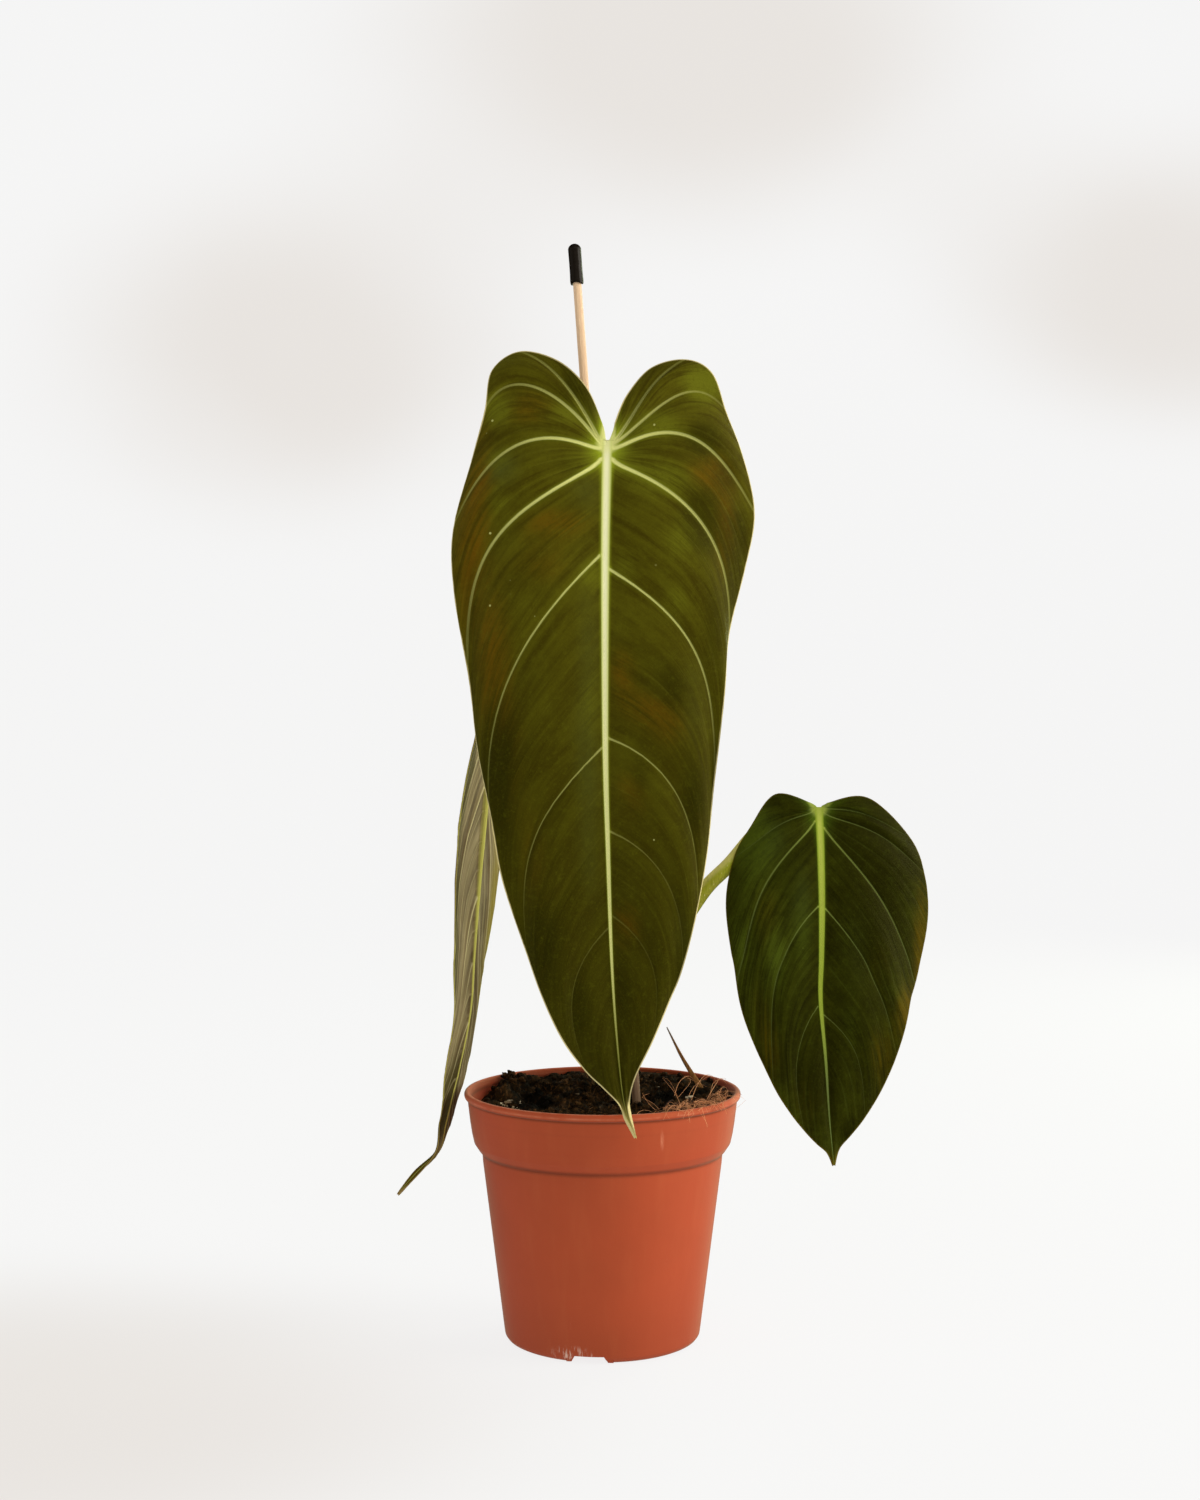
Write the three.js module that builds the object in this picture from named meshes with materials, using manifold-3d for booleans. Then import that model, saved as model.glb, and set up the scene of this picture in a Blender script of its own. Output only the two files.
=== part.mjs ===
// A potted Philodendron melanochrysum: three velvet leaves on long petioles, a climbing stem with
// aerial roots, a bamboo stake with a black tip, peat soil and a round plastic nursery pot.
// Millimetres, +Z up. The origin is the centre of the pot's flat base.

import * as THREE from "three";
import { mergeVertices } from "three/addons/utils/BufferGeometryUtils.js";
import Module from "manifold-3d";

const wasm = await Module();
wasm.setup();

// Driving dimensions
const GAP = 0.3; // between pieces that touch
const POT_HEIGHT = 108.2;
const LIP_RADIUS = 60;
const WALL = 1.4;
const POT_SIDES = 42;
const NOTCH = { width: 17.2, height: 3.2, slope: 2.4, inner: 18, angles: [-97.6, 22.4, 142.4] };
const DRAIN_HOLE = { radius: 3, distances: [23, 34] };
const STAKE = { radius: 1.7, foot: [21.4, -1.2, 12], top: [-11.9, 5.2, 470] };
const TIP = { radius: 2.9, length: 17.4 };
const TIP_CROWN = 4.4; // how far the tip stands above the stake's end
const SOIL_LEVEL = 101;
const SOIL_TOP = 107; // no higher than this at the wall
const SOIL_RISE = { right: 3, back: 6.2, corner: 3.6 }; // from the middle to the right, back and left back wall
const PETIOLE_RADIUS = 2.6;

// Colours
const TERRACOTTA = "#a8512f";
const PEAT = "#2b1d12";
const BAMBOO = "#d9b98a";
const BLACK = "#15130f";
const STEM_GREEN = "#5c5f2a";
const PETIOLE_GREEN = "#8f9a45";
const LARGE_LEAF_GREEN = "#4d5016";
const RIGHT_LEAF_GREEN = "#33430f";
const LEFT_LEAF_GREEN = "#8a8468";
const SHEATH_GREEN = "#8b8f4c";
const DRY_BROWN = "#6b5238";
const FIBRE_BROWN = "#9a6a42";
const TIE_GREEN = "#3f5a34";

// Plant layout
const STEM_PATH = [[5, 29, 80], [5, 26, 102], [6.5, 22, 128], [3.5, 18, 158], [5, 15, 188], [4, 14, 206]];
const STEM_RADIUS = 4.8;
const STEM_NODES = [0.2, 0.39, 0.62, 0.86]; // where the swollen leaf scars sit along the stem
const AERIAL_ROOTS = [
  { path: [[6, 24, 124], [11, 27, 119], [13, 29, 108], [13.5, 30, 94]], radius: 1.2 },
  { path: [[3, 20, 128], [-3, 24, 122], [-4, 28, 110], [-3.5, 30, 94]], radius: 1.1 },
  { path: [[4, 19, 156], [8, 25, 150], [8, 31, 140], [6.5, 35, 124], [6, 37, 96]], radius: 1.3 },
  { path: [[4, 15, 191], [9, 18, 187], [12.5, 22, 177], [13, 25, 162]], radius: 1.0 },
];
const PETIOLES = {
  petiole_large: [[5, 15, 186], [8, 15, 203], [8.5, 11, 245], [6.8, 7.4, 300], [5, -6, 350], [3.5, -24, 376],
    [1.9, -37, 379.2]],
  petiole_left: [[4, 18, 158], [1, 27, 176], [-9, 37, 216], [-25, 42, 256], [-38, 42, 273], [-45.4, 39.2, 276.6]],
  petiole_right: [[6, 22, 126], [17, 18, 143], [31.5, 13, 165], [45.6, 11, 186], [58.6, 12, 206],
    [70, 18, 224], [84, 20.5, 228], [94.8, 14.6, 225.2]],
};
const STEM_SHEATH = { path: [[3.6, 14.2, 200], [0.6, 14.6, 214], [-2.6, 14, 230], [-6, 12, 248]], radius: 5.2 };
const DRY_SHEATH = {
  path: [[47, 16.5, 95], [43.8, 15.6, 105], [39, 15, 113.2], [34.4, 15, 121], [28.4, 15, 133]],
  radius: 1.7,
};
const CLUMP = [43, -20]; // where the fibre strands start
const TIE = { height: 300, radius: 0.9, sides: 6, steps: 20 };

// Leaf blades
// A blade hangs from its sinus down the midrib. Each side is a fan of lines that follow the veins:
// [where the line leaves the midrib, its heading there, margin out, margin down, heading at the margin],
// in mm along the midrib and degrees from the tip's direction. ribs says how strong each line's vein is.
// faces is where the upper side looks, and turns twists it about the vertical at each midrib point.
const LARGE_LEAF = {
  midrib: [[1.9, -38, 384.3], [1.1, -47, 335.5], [1.1, -60, 261.8], [2.2, -66, 216.3], [3.7, -70, 172.5],
    [5.8, -72, 141.2], [8.6, -73, 116.2], [13.1, -73, 102.5]],
  faces: [0, -1, 0.1], fold: 0.22, curl: 95, lean: 0.1, quilt: 1.5, wave: 1.6, waveRows: 3.3,
  midribWidth: [5.5, 1.3], midribDepth: [3, 0.7],
  ribs: [0, 0, 0, 0.7, 0, 0.7, 0, 1, 0, 1, 0, 1, 0, 1, 0.5, 0, 0.8, 0, 0, 0, 0],
  left: [
    [-1, 170, 3, -8, 165], [-0.6, 160, 9.5, -23.5, 155], [-0.3, 152, 22, -35.8, 135], [0, 145, 38, -40.5, 95],
    [0.7, 138, 49, -32, 60], [1.4, 130, 51.5, -14, 20], [2.6, 112, 57.5, 5, 12], [4, 95, 65, 34, 8],
    [6, 75, 63.5, 61, 5], [9, 55, 57.5, 97, 3], [28, 52, 54, 124, 5], [48, 50, 47.5, 153, 8],
    [86, 48, 43.3, 181, 5], [125, 42, 34, 212, 5], [161, 42, 28.5, 228, 8], [181, 45, 21.5, 245, 15],
    [201, 48, 14, 257, 8], [225, 35, 7.5, 264.5, 10], [250, 20, 2.6, 271.5, 6], [268, 14, 1.6, 278, 3],
    [278, 10, 0.9, 285, 2]],
  right: [
    [-1, 170, 3.2, -8, 165], [-0.6, 158, 8.5, -21.5, 150], [-0.3, 152, 18, -33.5, 130], [0, 148, 32, -37, 95],
    [0.7, 138, 43.5, -31.5, 60], [1.4, 130, 50.5, -16, 25], [2.6, 115, 57, 1, 15], [4, 100, 62.6, 27, 8],
    [6, 75, 59.4, 52, 8], [9, 52, 52, 81, 5], [30, 52, 49, 106, 3], [54, 52, 44.5, 143, 4],
    [88, 54, 41.5, 168, 5], [124, 56, 35.5, 194.5, 5], [162, 55, 28.3, 219, 5], [179, 52, 22.5, 232, 12],
    [196, 50, 14.8, 247, 15], [222, 35, 6.5, 261, 12], [250, 20, 2.2, 271.5, 6], [268, 14, 1.4, 278, 3],
    [278, 10, 0.9, 285, 2]],
};
const RIGHT_LEAF = {
  midrib: [[95, 14, 230.1], [95.4, 9, 211.7], [95.5, 4, 188.6], [95, 0, 165.7], [94.4, -3, 147.6], [96.4, -6, 122],
    [97.9, -8, 97.2], [99.9, -9, 76.7]],
  faces: [0.05, -1, 0.12], fold: 0.16, curl: 90, lean: 0.6, quilt: 1.1, wave: 0.8, waveRows: 3.1,
  midribWidth: [4.4, 1.2], midribDepth: [2.6, 0.6],
  ribs: [0, 0.6, 0, 0.8, 0, 1, 0, 0.8, 0, 0.6, 0, 0, 0],
  left: [
    [-0.6, 110, 6, -4, 100], [0, 96, 19, -5, 75], [1.5, 80, 30.5, 8, 45], [3, 67, 38.5, 22, 28],
    [5.5, 55, 42, 45, 8], [8, 42, 36.5, 79, 5], [26, 42, 30.5, 101, 8], [44, 42, 23.5, 120, 8],
    [66, 38, 17.5, 131, 10], [87, 32, 11.5, 139.5, 10], [108, 26, 6.8, 145.5, 10], [128, 18, 2.8, 150, 6],
    [146, 12, 0.9, 155, 2]],
  right: [
    [-0.6, 110, 7, -3.3, 100], [0, 96, 22, -4, 72], [1.5, 80, 36.5, 6.5, 48], [4, 60, 45.5, 24, 32],
    [7, 48, 48.3, 46, 12], [11, 38, 43, 75, 14], [28, 38, 38, 95, 14], [45, 38, 31, 111, 15],
    [68, 37, 23.5, 125, 16], [91, 36, 15.5, 136, 12], [110, 28, 8.5, 143.5, 10], [128, 18, 3.2, 149, 6],
    [146, 12, 0.9, 155, 2]],
};
const LEFT_LEAF = {
  midrib: [[-46.5, 40, 281.5], [-50.6, 32, 250.3], [-53.8, 23, 212.9], [-55.1, 18, 191.2], [-56.5, 12, 165.7],
    [-58.2, 8, 141.6], [-63, 4, 118.5], [-66.4, 2, 104], [-68.9, 0, 92.5], [-71.6, -2, 81.1], [-80.3, -5, 72.6],
    [-88.8, -8, 63.3]],
  faces: [-1, 0, 0.02], turns: [-8, -7.5, -9.5, -11, -9.5, -8, -8, -12, -17, -26, -30, -30],
  fold: 0.035, curl: 500, lean: 0.4, quilt: 0.9, wave: 0.6, waveRows: 2.9,
  midribWidth: [4.8, 1.2], midribDepth: [2.8, 0.6],
  ribs: [0, 0, 0.7, 0, 0.7, 1, 0, 1, 0, 1, 0, 1, 0.5, 0.8, 0, 0, 0],
  left: [
    [-1, 170, 3, -8, 165], [-0.4, 155, 13, -25, 140], [0, 146, 26, -30, 100], [1, 132, 37, -22, 52],
    [1.8, 120, 42, -6, 22], [3.5, 98, 45.5, 24, 8], [5.5, 76, 46, 46, 4], [8, 54, 45, 74, 2],
    [26, 52, 37.5, 100, 3], [44, 50, 30.5, 126, 5], [72, 49, 25, 146, 8], [98, 46, 19.5, 164, 8],
    [128, 44, 15.5, 178, 12], [152, 40, 10, 190, 14], [174, 28, 4.6, 200, 8], [196, 16, 1.8, 211, 5],
    [222, 8, 0.9, 231, 2]],
  right: [
    [-1, 170, 3, -8, 165], [-0.4, 155, 13, -25, 140], [0, 146, 27, -31, 100], [1, 132, 38, -23, 52],
    [1.8, 120, 43, -6, 22], [3.5, 98, 46.5, 24, 8], [5.5, 76, 47, 46, 4], [8, 54, 45, 74, 2],
    [24, 52, 42.5, 98, 3], [42, 50, 39, 124, 5], [70, 49, 33, 143, 8], [95, 46, 24.5, 160, 8],
    [124, 44, 17, 172, 12], [150, 40, 10.5, 184, 14], [174, 28, 4.6, 197, 8], [196, 16, 1.8, 211, 5],
    [222, 8, 0.9, 231, 2]],
};
const BLADE_THICKNESS = 0.9;
const EDGE_THICKNESS = 0.65;
const LINE_STEPS = [0, 0.17, 0.4, 0.65, 0.87, 1];
const RIB_SIDE = 0.12; // how far beside a vein its ridge ends, in rows
const RIB_DEPTH = 1.1;
const LONG_ROW = 13; // rows further apart than this at the margin get one more line between them

const UPWARDS = new THREE.Vector3(0, 0, 1);
const radians = THREE.MathUtils.degToRad;
const vector = (p) => new THREE.Vector3(p[0], p[1], p[2]);
const blend = (pair, t) => pair[0] + (pair[1] - pair[0]) * t;

// Solids and meshes
function solidOf(geometry) {
  const bare = geometry.clone();
  bare.deleteAttribute("normal");
  bare.deleteAttribute("uv");
  const merged = mergeVertices(bare, 1e-4);
  const triVerts = new Uint32Array(merged.index.array);
  const build = () => new wasm.Manifold(
    new wasm.Mesh({ numProp: 3, vertProperties: merged.attributes.position.array, triVerts }));
  const made = build();
  if (made.volume() > 0) return made;
  for (let i = 0; i < triVerts.length; i += 3) {
    [triVerts[i + 1], triVerts[i + 2]] = [triVerts[i + 2], triVerts[i + 1]];
  }
  return build();
}

function geometryOf(solid) {
  const { vertProperties, triVerts } = solid.getMesh();
  const geometry = new THREE.BufferGeometry();
  geometry.setAttribute("position", new THREE.BufferAttribute(vertProperties, 3));
  geometry.setIndex(new THREE.BufferAttribute(triVerts, 1));
  geometry.computeVertexNormals();
  return geometry;
}

function piece(name, solid, color, roughness) {
  const material = new THREE.MeshStandardMaterial({ color, roughness, metalness: 0 });
  const mesh = new THREE.Mesh(geometryOf(solid), material);
  mesh.name = name;
  return mesh;
}

const joined = (solids) => solids.reduce((all, one) => all.add(one));

function indexed(positions, triangles) {
  const geometry = new THREE.BufferGeometry();
  geometry.setAttribute("position", new THREE.Float32BufferAttribute(positions, 3));
  geometry.setIndex(triangles);
  return geometry;
}

// A round body swept along a curve through the points, its radius given along its length from 0 to 1.
function rod(points, radiusAt, sides, steps) {
  const curve = new THREE.CatmullRomCurve3(points.map(vector), false, "catmullrom", 0.5);
  const { normals, binormals } = curve.computeFrenetFrames(steps, false);
  const positions = [];
  for (let k = 0; k <= steps; k++) {
    const centre = curve.getPointAt(k / steps);
    const radius = radiusAt(k / steps);
    for (let s = 0; s < sides; s++) {
      const angle = (2 * Math.PI * s) / sides;
      const point = centre.clone()
        .addScaledVector(normals[k], radius * Math.cos(angle))
        .addScaledVector(binormals[k], radius * Math.sin(angle));
      positions.push(point.x, point.y, point.z);
    }
  }
  const triangles = [];
  for (let k = 0; k < steps; k++) {
    for (let s = 0; s < sides; s++) {
      const a = k * sides + s;
      const b = k * sides + ((s + 1) % sides);
      triangles.push(a, b, a + sides, b, b + sides, a + sides);
    }
  }
  for (let s = 1; s < sides - 1; s++) {
    const end = steps * sides;
    triangles.push(0, s + 1, s, end, end + s, end + s + 1);
  }
  return solidOf(indexed(positions, triangles));
}

// Pot
const turned = (profile) => {
  const geometry = new THREE.LatheGeometry(profile.map((p) => new THREE.Vector2(p[0], p[1])), POT_SIDES);
  return solidOf(geometry.rotateX(Math.PI / 2));
};

const OUTSIDE = [[0, 0], [39.3, 0], [41.2, 0.9], [42.3, 2.4], [42.6, 4.2], [51.9, 77.5], [52.5, 80], [54.2, 82.6],
  [55.9, 85.4], [56.9, 90], [57.6, 95], [58.3, 102.4], [58.6, 104.4], [59.6, 104.8], [LIP_RADIUS, 105.6],
  [LIP_RADIUS, 107.2], [59.3, POT_HEIGHT], [58.1, POT_HEIGHT]];
const INSIDE = [[57.4, 107.4], [56.9, 102.4], [56.2, 95], [55.5, 90], [54.5, 86], [51.3, 81.4], [50.5, 77.5],
  [41.2, 4.4], [40.2, 2.4], [38.6, WALL], [0, WALL]];

// The bar that a drainage channel takes out of the base, or with a wall added, the ridge that covers it.
function channelBar(grow, inner, outer, bottom) {
  const foot = NOTCH.width / 2 + grow;
  const head = foot - NOTCH.slope;
  const top = NOTCH.height + grow;
  const section = new THREE.Shape([[-foot, bottom], [foot, bottom], [head, top], [-head, top]]
    .map((p) => new THREE.Vector2(p[0], p[1])));
  const bar = new THREE.ExtrudeGeometry(section, { depth: outer - inner, bevelEnabled: false });
  return bar.translate(0, 0, inner).rotateX(Math.PI / 2).rotateZ(Math.PI);
}

function atNotches(make) {
  return joined(NOTCH.angles.map((angle) => solidOf(make().rotateZ(radians(angle) - Math.PI / 2))));
}

function drainHole(distance) {
  const { radius } = DRAIN_HOLE;
  return new THREE.CylinderGeometry(radius, radius, 6, 16).rotateX(Math.PI / 2).translate(0, distance, 4);
}

const ridges = (grow) => atNotches(() => channelBar(WALL + grow, NOTCH.inner - WALL - grow, 40.6, 0.5));

function pot() {
  const shell = turned([...OUTSIDE, ...INSIDE]);
  const channels = atNotches(() => channelBar(0, NOTCH.inner, 50, -1));
  const holes = joined(DRAIN_HOLE.distances.map((distance) => atNotches(() => drainHole(distance))));
  return shell.add(ridges(0)).subtract(channels).subtract(holes);
}

// Soil
function soilHeight(x, y) {
  const mound = 1.8 * Math.exp(-((x - 42) ** 2 + (y + 4) ** 2) / 380);
  const back = Math.max(y / 55, 0);
  const slope = SOIL_RISE.right * (x / 55) + SOIL_RISE.back * back + SOIL_RISE.corner * back * Math.max(-x / 55, 0);
  const lumps = 0.8 * Math.sin(x * 0.42 + 1.3) * Math.sin(y * 0.37 + 0.4)
    + 0.6 * Math.sin(x * 0.9 - y * 0.7) + 0.4 * Math.sin(x * 0.25 + y * 1.1 + 2);
  return SOIL_LEVEL + slope + mound + lumps;
}

function insideRadius(z) {
  const wall = [...INSIDE].reverse();
  const upper = wall.findIndex((p, i) => i > 0 && p[1] >= z);
  const [low, high] = [wall[upper - 1], wall[upper]];
  return low[0] + ((high[0] - low[0]) * (z - low[1])) / (high[1] - low[1]);
}

function soil(holes) {
  const rings = 7;
  const levels = [86, 81.4, 77.5, 40, 4.4, 2.4];
  const positions = [0, 0, soilHeight(0, 0)];
  const spots = (place) => {
    for (let s = 0; s < POT_SIDES; s++) {
      const angle = (2 * Math.PI * s) / POT_SIDES;
      const { radius, z } = place(Math.sin(angle), Math.cos(angle));
      positions.push(radius * Math.sin(angle), radius * Math.cos(angle), z);
    }
  };
  const againstWall = (z) => ({ radius: insideRadius(z) - GAP - 0.05, z });
  const rim = insideRadius(SOIL_LEVEL) - GAP;
  for (let k = 1; k < rings; k++) {
    const radius = (rim * k) / rings;
    spots((x, y) => ({ radius, z: soilHeight(radius * x, radius * y) }));
  }
  spots((x, y) => againstWall(Math.min(soilHeight(rim * x, rim * y) - 0.4, SOIL_TOP)));
  levels.forEach((z) => spots(() => againstWall(z)));
  spots(() => ({ radius: 38.2, z: WALL + GAP }));
  const rows = rings + levels.length + 1;
  positions.push(0, 0, WALL + GAP);
  const last = positions.length / 3 - 1;
  const triangles = [];
  for (let s = 0; s < POT_SIDES; s++) {
    const next = (s + 1) % POT_SIDES;
    triangles.push(0, 1 + s, 1 + next);
    for (let k = 0; k < rows - 1; k++) {
      const a = 1 + k * POT_SIDES;
      triangles.push(a + s, a + POT_SIDES + s, a + next, a + next, a + POT_SIDES + s, a + POT_SIDES + next);
    }
    const bottom = 1 + (rows - 1) * POT_SIDES;
    triangles.push(bottom + next, bottom + s, last);
  }
  return solidOf(indexed(positions, triangles)).subtract(ridges(GAP)).subtract(holes);
}

// Stake
function stakeRod(radius, from, to) {
  const [foot, top] = [vector(STAKE.foot), vector(STAKE.top)];
  const at = (t) => foot.clone().lerp(top, t).toArray();
  return rod([at(from), at(to)], () => radius, 12, 1);
}

const stakeLength = vector(STAKE.foot).distanceTo(vector(STAKE.top));
const tipStart = 1 + (TIP_CROWN - TIP.length) / stakeLength;

function stakeTip() {
  const [foot, top] = [vector(STAKE.foot), vector(STAKE.top)];
  const along = top.clone().sub(foot).normalize();
  const start = foot.clone().lerp(top, tipStart);
  const end = start.clone().addScaledVector(along, TIP.length);
  const round = (t) => {
    const fromTop = (1 - t) * TIP.length;
    const dome = TIP.radius * 0.96;
    const crown = fromTop >= dome ? 1 : Math.sqrt(Math.max(1 - (1 - fromTop / dome) ** 2, 0.02));
    return TIP.radius * crown * (t < 0.04 ? 0.93 : 1);
  };
  return rod([start.toArray(), end.toArray()], round, 12, 14).subtract(stakeRod(STAKE.radius + GAP, 0, 1.0007));
}

// Stem
function stem(grow) {
  const swell = (t) => STEM_NODES.reduce((sum, n) => sum + Math.exp(-(((t - n) / 0.025) ** 2)), 0);
  const body = rod(STEM_PATH, (t) => STEM_RADIUS - 0.7 * t + 0.7 * swell(t) + grow, 10, 26);
  const roots = AERIAL_ROOTS.map((root) => rod(root.path, (t) => root.radius * (1 - 0.45 * t) + grow, 5, 9));
  return joined([body, ...roots]);
}

// Petioles
function petiole(path, grow) {
  const taper = (t) => 1 + 0.35 * Math.exp(-t * 9) - 0.12 * t + 0.1 * Math.exp((t - 1) * 14);
  return rod(path, (t) => PETIOLE_RADIUS * taper(t) + grow, 8, 18);
}

// Blades
const rowAt = (rows, r) => {
  const i = Math.min(Math.floor(r), rows.length - 2);
  const t = r - i;
  const row = (k) => rows[Math.min(Math.max(k, 0), rows.length - 1)];
  const straight = (c) => row(i)[c] + (row(i + 1)[c] - row(i)[c]) * t;
  const smooth = (c) => {
    const [a, b, d, e] = [row(i - 1)[c], row(i)[c], row(i + 1)[c], row(i + 2)[c]];
    return 0.5 * (2 * b + (d - a) * t + (2 * a - 5 * b + 4 * d - e) * t * t + (3 * b - a - 3 * d + e) * t ** 3);
  };
  return [straight(0), straight(1), smooth(2), smooth(3), straight(4)];
};

// A point of one vein line: from the midrib (t = 0) to the margin (t = 1), in the flat leaf.
function linePoint([start, out, u, v, home], halfMidrib, t) {
  const reach = 0.36 * Math.hypot(u - halfMidrib, v - start);
  const points = [
    [halfMidrib, start],
    [halfMidrib + reach * Math.sin(radians(out)), start + reach * Math.cos(radians(out))],
    [u - reach * Math.sin(radians(home)), v - reach * Math.cos(radians(home))],
    [u, v],
  ];
  const weights = [(1 - t) ** 3, 3 * t * (1 - t) ** 2, 3 * t * t * (1 - t), t ** 3];
  return [0, 1].map((c) => points.reduce((sum, p, i) => sum + p[c] * weights[i], 0));
}

// The place in space of a point of the flat leaf, and the direction that the upper side faces there.
function placer(leaf) {
  const curve = new THREE.CatmullRomCurve3(leaf.midrib.map(vector), false, "catmullrom", 0.5);
  const length = curve.getLength();
  const turns = leaf.turns ?? [0, 0];
  const facing = (t) => {
    const i = Math.min(Math.floor(t * (turns.length - 1)), turns.length - 2);
    const turn = blend([turns[i], turns[i + 1]], t * (turns.length - 1) - i);
    return vector(leaf.faces).normalize().applyAxisAngle(UPWARDS, radians(turn));
  };
  return (side, u, v) => {
    const inside = THREE.MathUtils.clamp(v, 0, length);
    const centre = curve.getPointAt(inside / length);
    const along = curve.getTangentAt(inside / length);
    const faces = facing(curve.getUtoTmapping(inside / length));
    const up = faces.clone().addScaledVector(along, -faces.dot(along)).normalize();
    const across = new THREE.Vector3().crossVectors(up, along).multiplyScalar(side);
    const behind = Math.min(v, 0);
    centre.addScaledVector(along, v - inside).addScaledVector(up, (-leaf.lean * behind * behind) / 40);
    const slope = leaf.fold - u / leaf.curl;
    const out = leaf.curl * (Math.sin(leaf.fold) - Math.sin(slope));
    const rise = leaf.curl * (Math.cos(slope) - Math.cos(leaf.fold));
    const point = centre.addScaledVector(across, out).addScaledVector(up, rise);
    const normal = up.clone().multiplyScalar(Math.cos(slope)).addScaledVector(across, -Math.sin(slope));
    return { point, normal, length };
  };
}

// The rows of lines that a blade is built on: the veins, a line close on each side of them, and lines between.
function rowStations(leaf) {
  const stations = [];
  const last = leaf.ribs.length - 1;
  for (let i = 0; i <= last; i++) {
    stations.push(i);
    if (i === last) break;
    const wide = Math.hypot(leaf.left[i + 1][2] - leaf.left[i][2], leaf.left[i + 1][3] - leaf.left[i][3]);
    if (leaf.ribs[i] > 0) stations.push(i + RIB_SIDE);
    if (wide > LONG_ROW) stations.push(i + 0.5);
    if (leaf.ribs[i + 1] > 0) stations.push(i + 1 - RIB_SIDE);
  }
  return stations;
}

// How far the blade bulges up between two veins, 0 on a vein and 1 midway.
function bulge(ribs, r) {
  const marks = ribs.map((rib, i) => (rib > 0 || i === 0 || i === ribs.length - 1 ? i : -1)).filter((i) => i >= 0);
  const above = Math.max(marks.findIndex((m) => m >= r), 1);
  const [low, high] = [marks[above - 1], marks[above]];
  return Math.sin((Math.PI * (r - low)) / (high - low));
}

function blade(leaf, skin = 0) {
  const place = placer(leaf);
  const { length } = place(1, 0, 0);
  const stations = rowStations(leaf);
  const top = [];
  const bottom = [];
  const add = (side, u, v, lift, above, below) => {
    const { point, normal } = place(side, u, v);
    top.push(...point.clone().addScaledVector(normal, lift + above + skin).toArray());
    bottom.push(...point.clone().addScaledVector(normal, lift - below - skin).toArray());
  };
  for (const r of stations) {
    const rib = Number.isInteger(r) ? leaf.ribs[r] : 0;
    const line = (side) => rowAt(side > 0 ? leaf.right : leaf.left, r);
    const half = (row) => blend(leaf.midribWidth, Math.min(Math.max(row[0] / length, 0), 1)) / 2;
    const depth = (row) => blend(leaf.midribDepth, Math.min(Math.max(row[0] / length, 0), 1));
    const vein = (side, t) => {
      const row = line(side);
      const [u, v] = linePoint(row, Math.min(half(row), row[2] * 0.7), t);
      const pillow = leaf.quilt * bulge(leaf.ribs, r) * Math.sin(Math.PI * t ** 0.8);
      const ripple = leaf.wave * t ** 3 * Math.sin((2 * Math.PI * r) / leaf.waveRows + side);
      const thin = blend([BLADE_THICKNESS, EDGE_THICKNESS], t) / 2;
      const ridge = rib * RIB_DEPTH * (1 - 0.85 * t) + (t === 0 ? 0.45 * depth(row) : 0);
      add(side, u, v, pillow + ripple, thin, thin + ridge);
    };
    [...LINE_STEPS].reverse().forEach((t) => vein(-1, t));
    const middle = (line(1)[0] + line(-1)[0]) / 2;
    add(1, 0, middle, 0, BLADE_THICKNESS / 2 + 0.3, BLADE_THICKNESS / 2 + (depth(line(1)) + depth(line(-1))) / 2);
    LINE_STEPS.forEach((t) => vein(1, t));
  }
  return bladeSkin(top, bottom, stations.length, 2 * LINE_STEPS.length + 1);
}

// Closes the two faces of a blade, both split into the same triangles, with a strip round its edge.
function bladeSkin(top, bottom, rows, columns) {
  const under = rows * columns;
  const triangles = [];
  const quad = (a, b, c, d) => triangles.push(a, b, c, a, c, d);
  const at = (i, j) => i * columns + j;
  for (let i = 0; i < rows - 1; i++) {
    for (let j = 0; j < columns - 1; j++) {
      const corners = [at(i, j), at(i + 1, j), at(i + 1, j + 1), at(i, j + 1)];
      if (j >= (columns - 1) / 2) corners.push(corners.shift());
      const [a, b, c, d] = corners;
      quad(a, b, c, d);
      triangles.push(under + a, under + c, under + b, under + a, under + d, under + c);
    }
  }
  const edge = [];
  for (let i = 0; i < rows - 1; i++) edge.push(at(i, 0));
  for (let j = 0; j < columns - 1; j++) edge.push(at(rows - 1, j));
  for (let i = rows - 1; i > 0; i--) edge.push(at(i, columns - 1));
  for (let j = columns - 1; j > 0; j--) edge.push(at(0, j));
  edge.forEach((a, i) => {
    const b = edge[(i + 1) % edge.length];
    quad(b, a, under + a, under + b);
  });
  return solidOf(indexed([...top, ...bottom], triangles));
}

// Sheaths
function stemSheath() {
  const { path, radius } = STEM_SHEATH;
  return rod(path, (t) => radius * (1 - t) ** 0.75 + 0.3, 10, 9);
}

const drySheath = (grow) => rod(DRY_SHEATH.path, (t) => DRY_SHEATH.radius * (1 - 0.8 * t) + grow, 6, 8);

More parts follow.
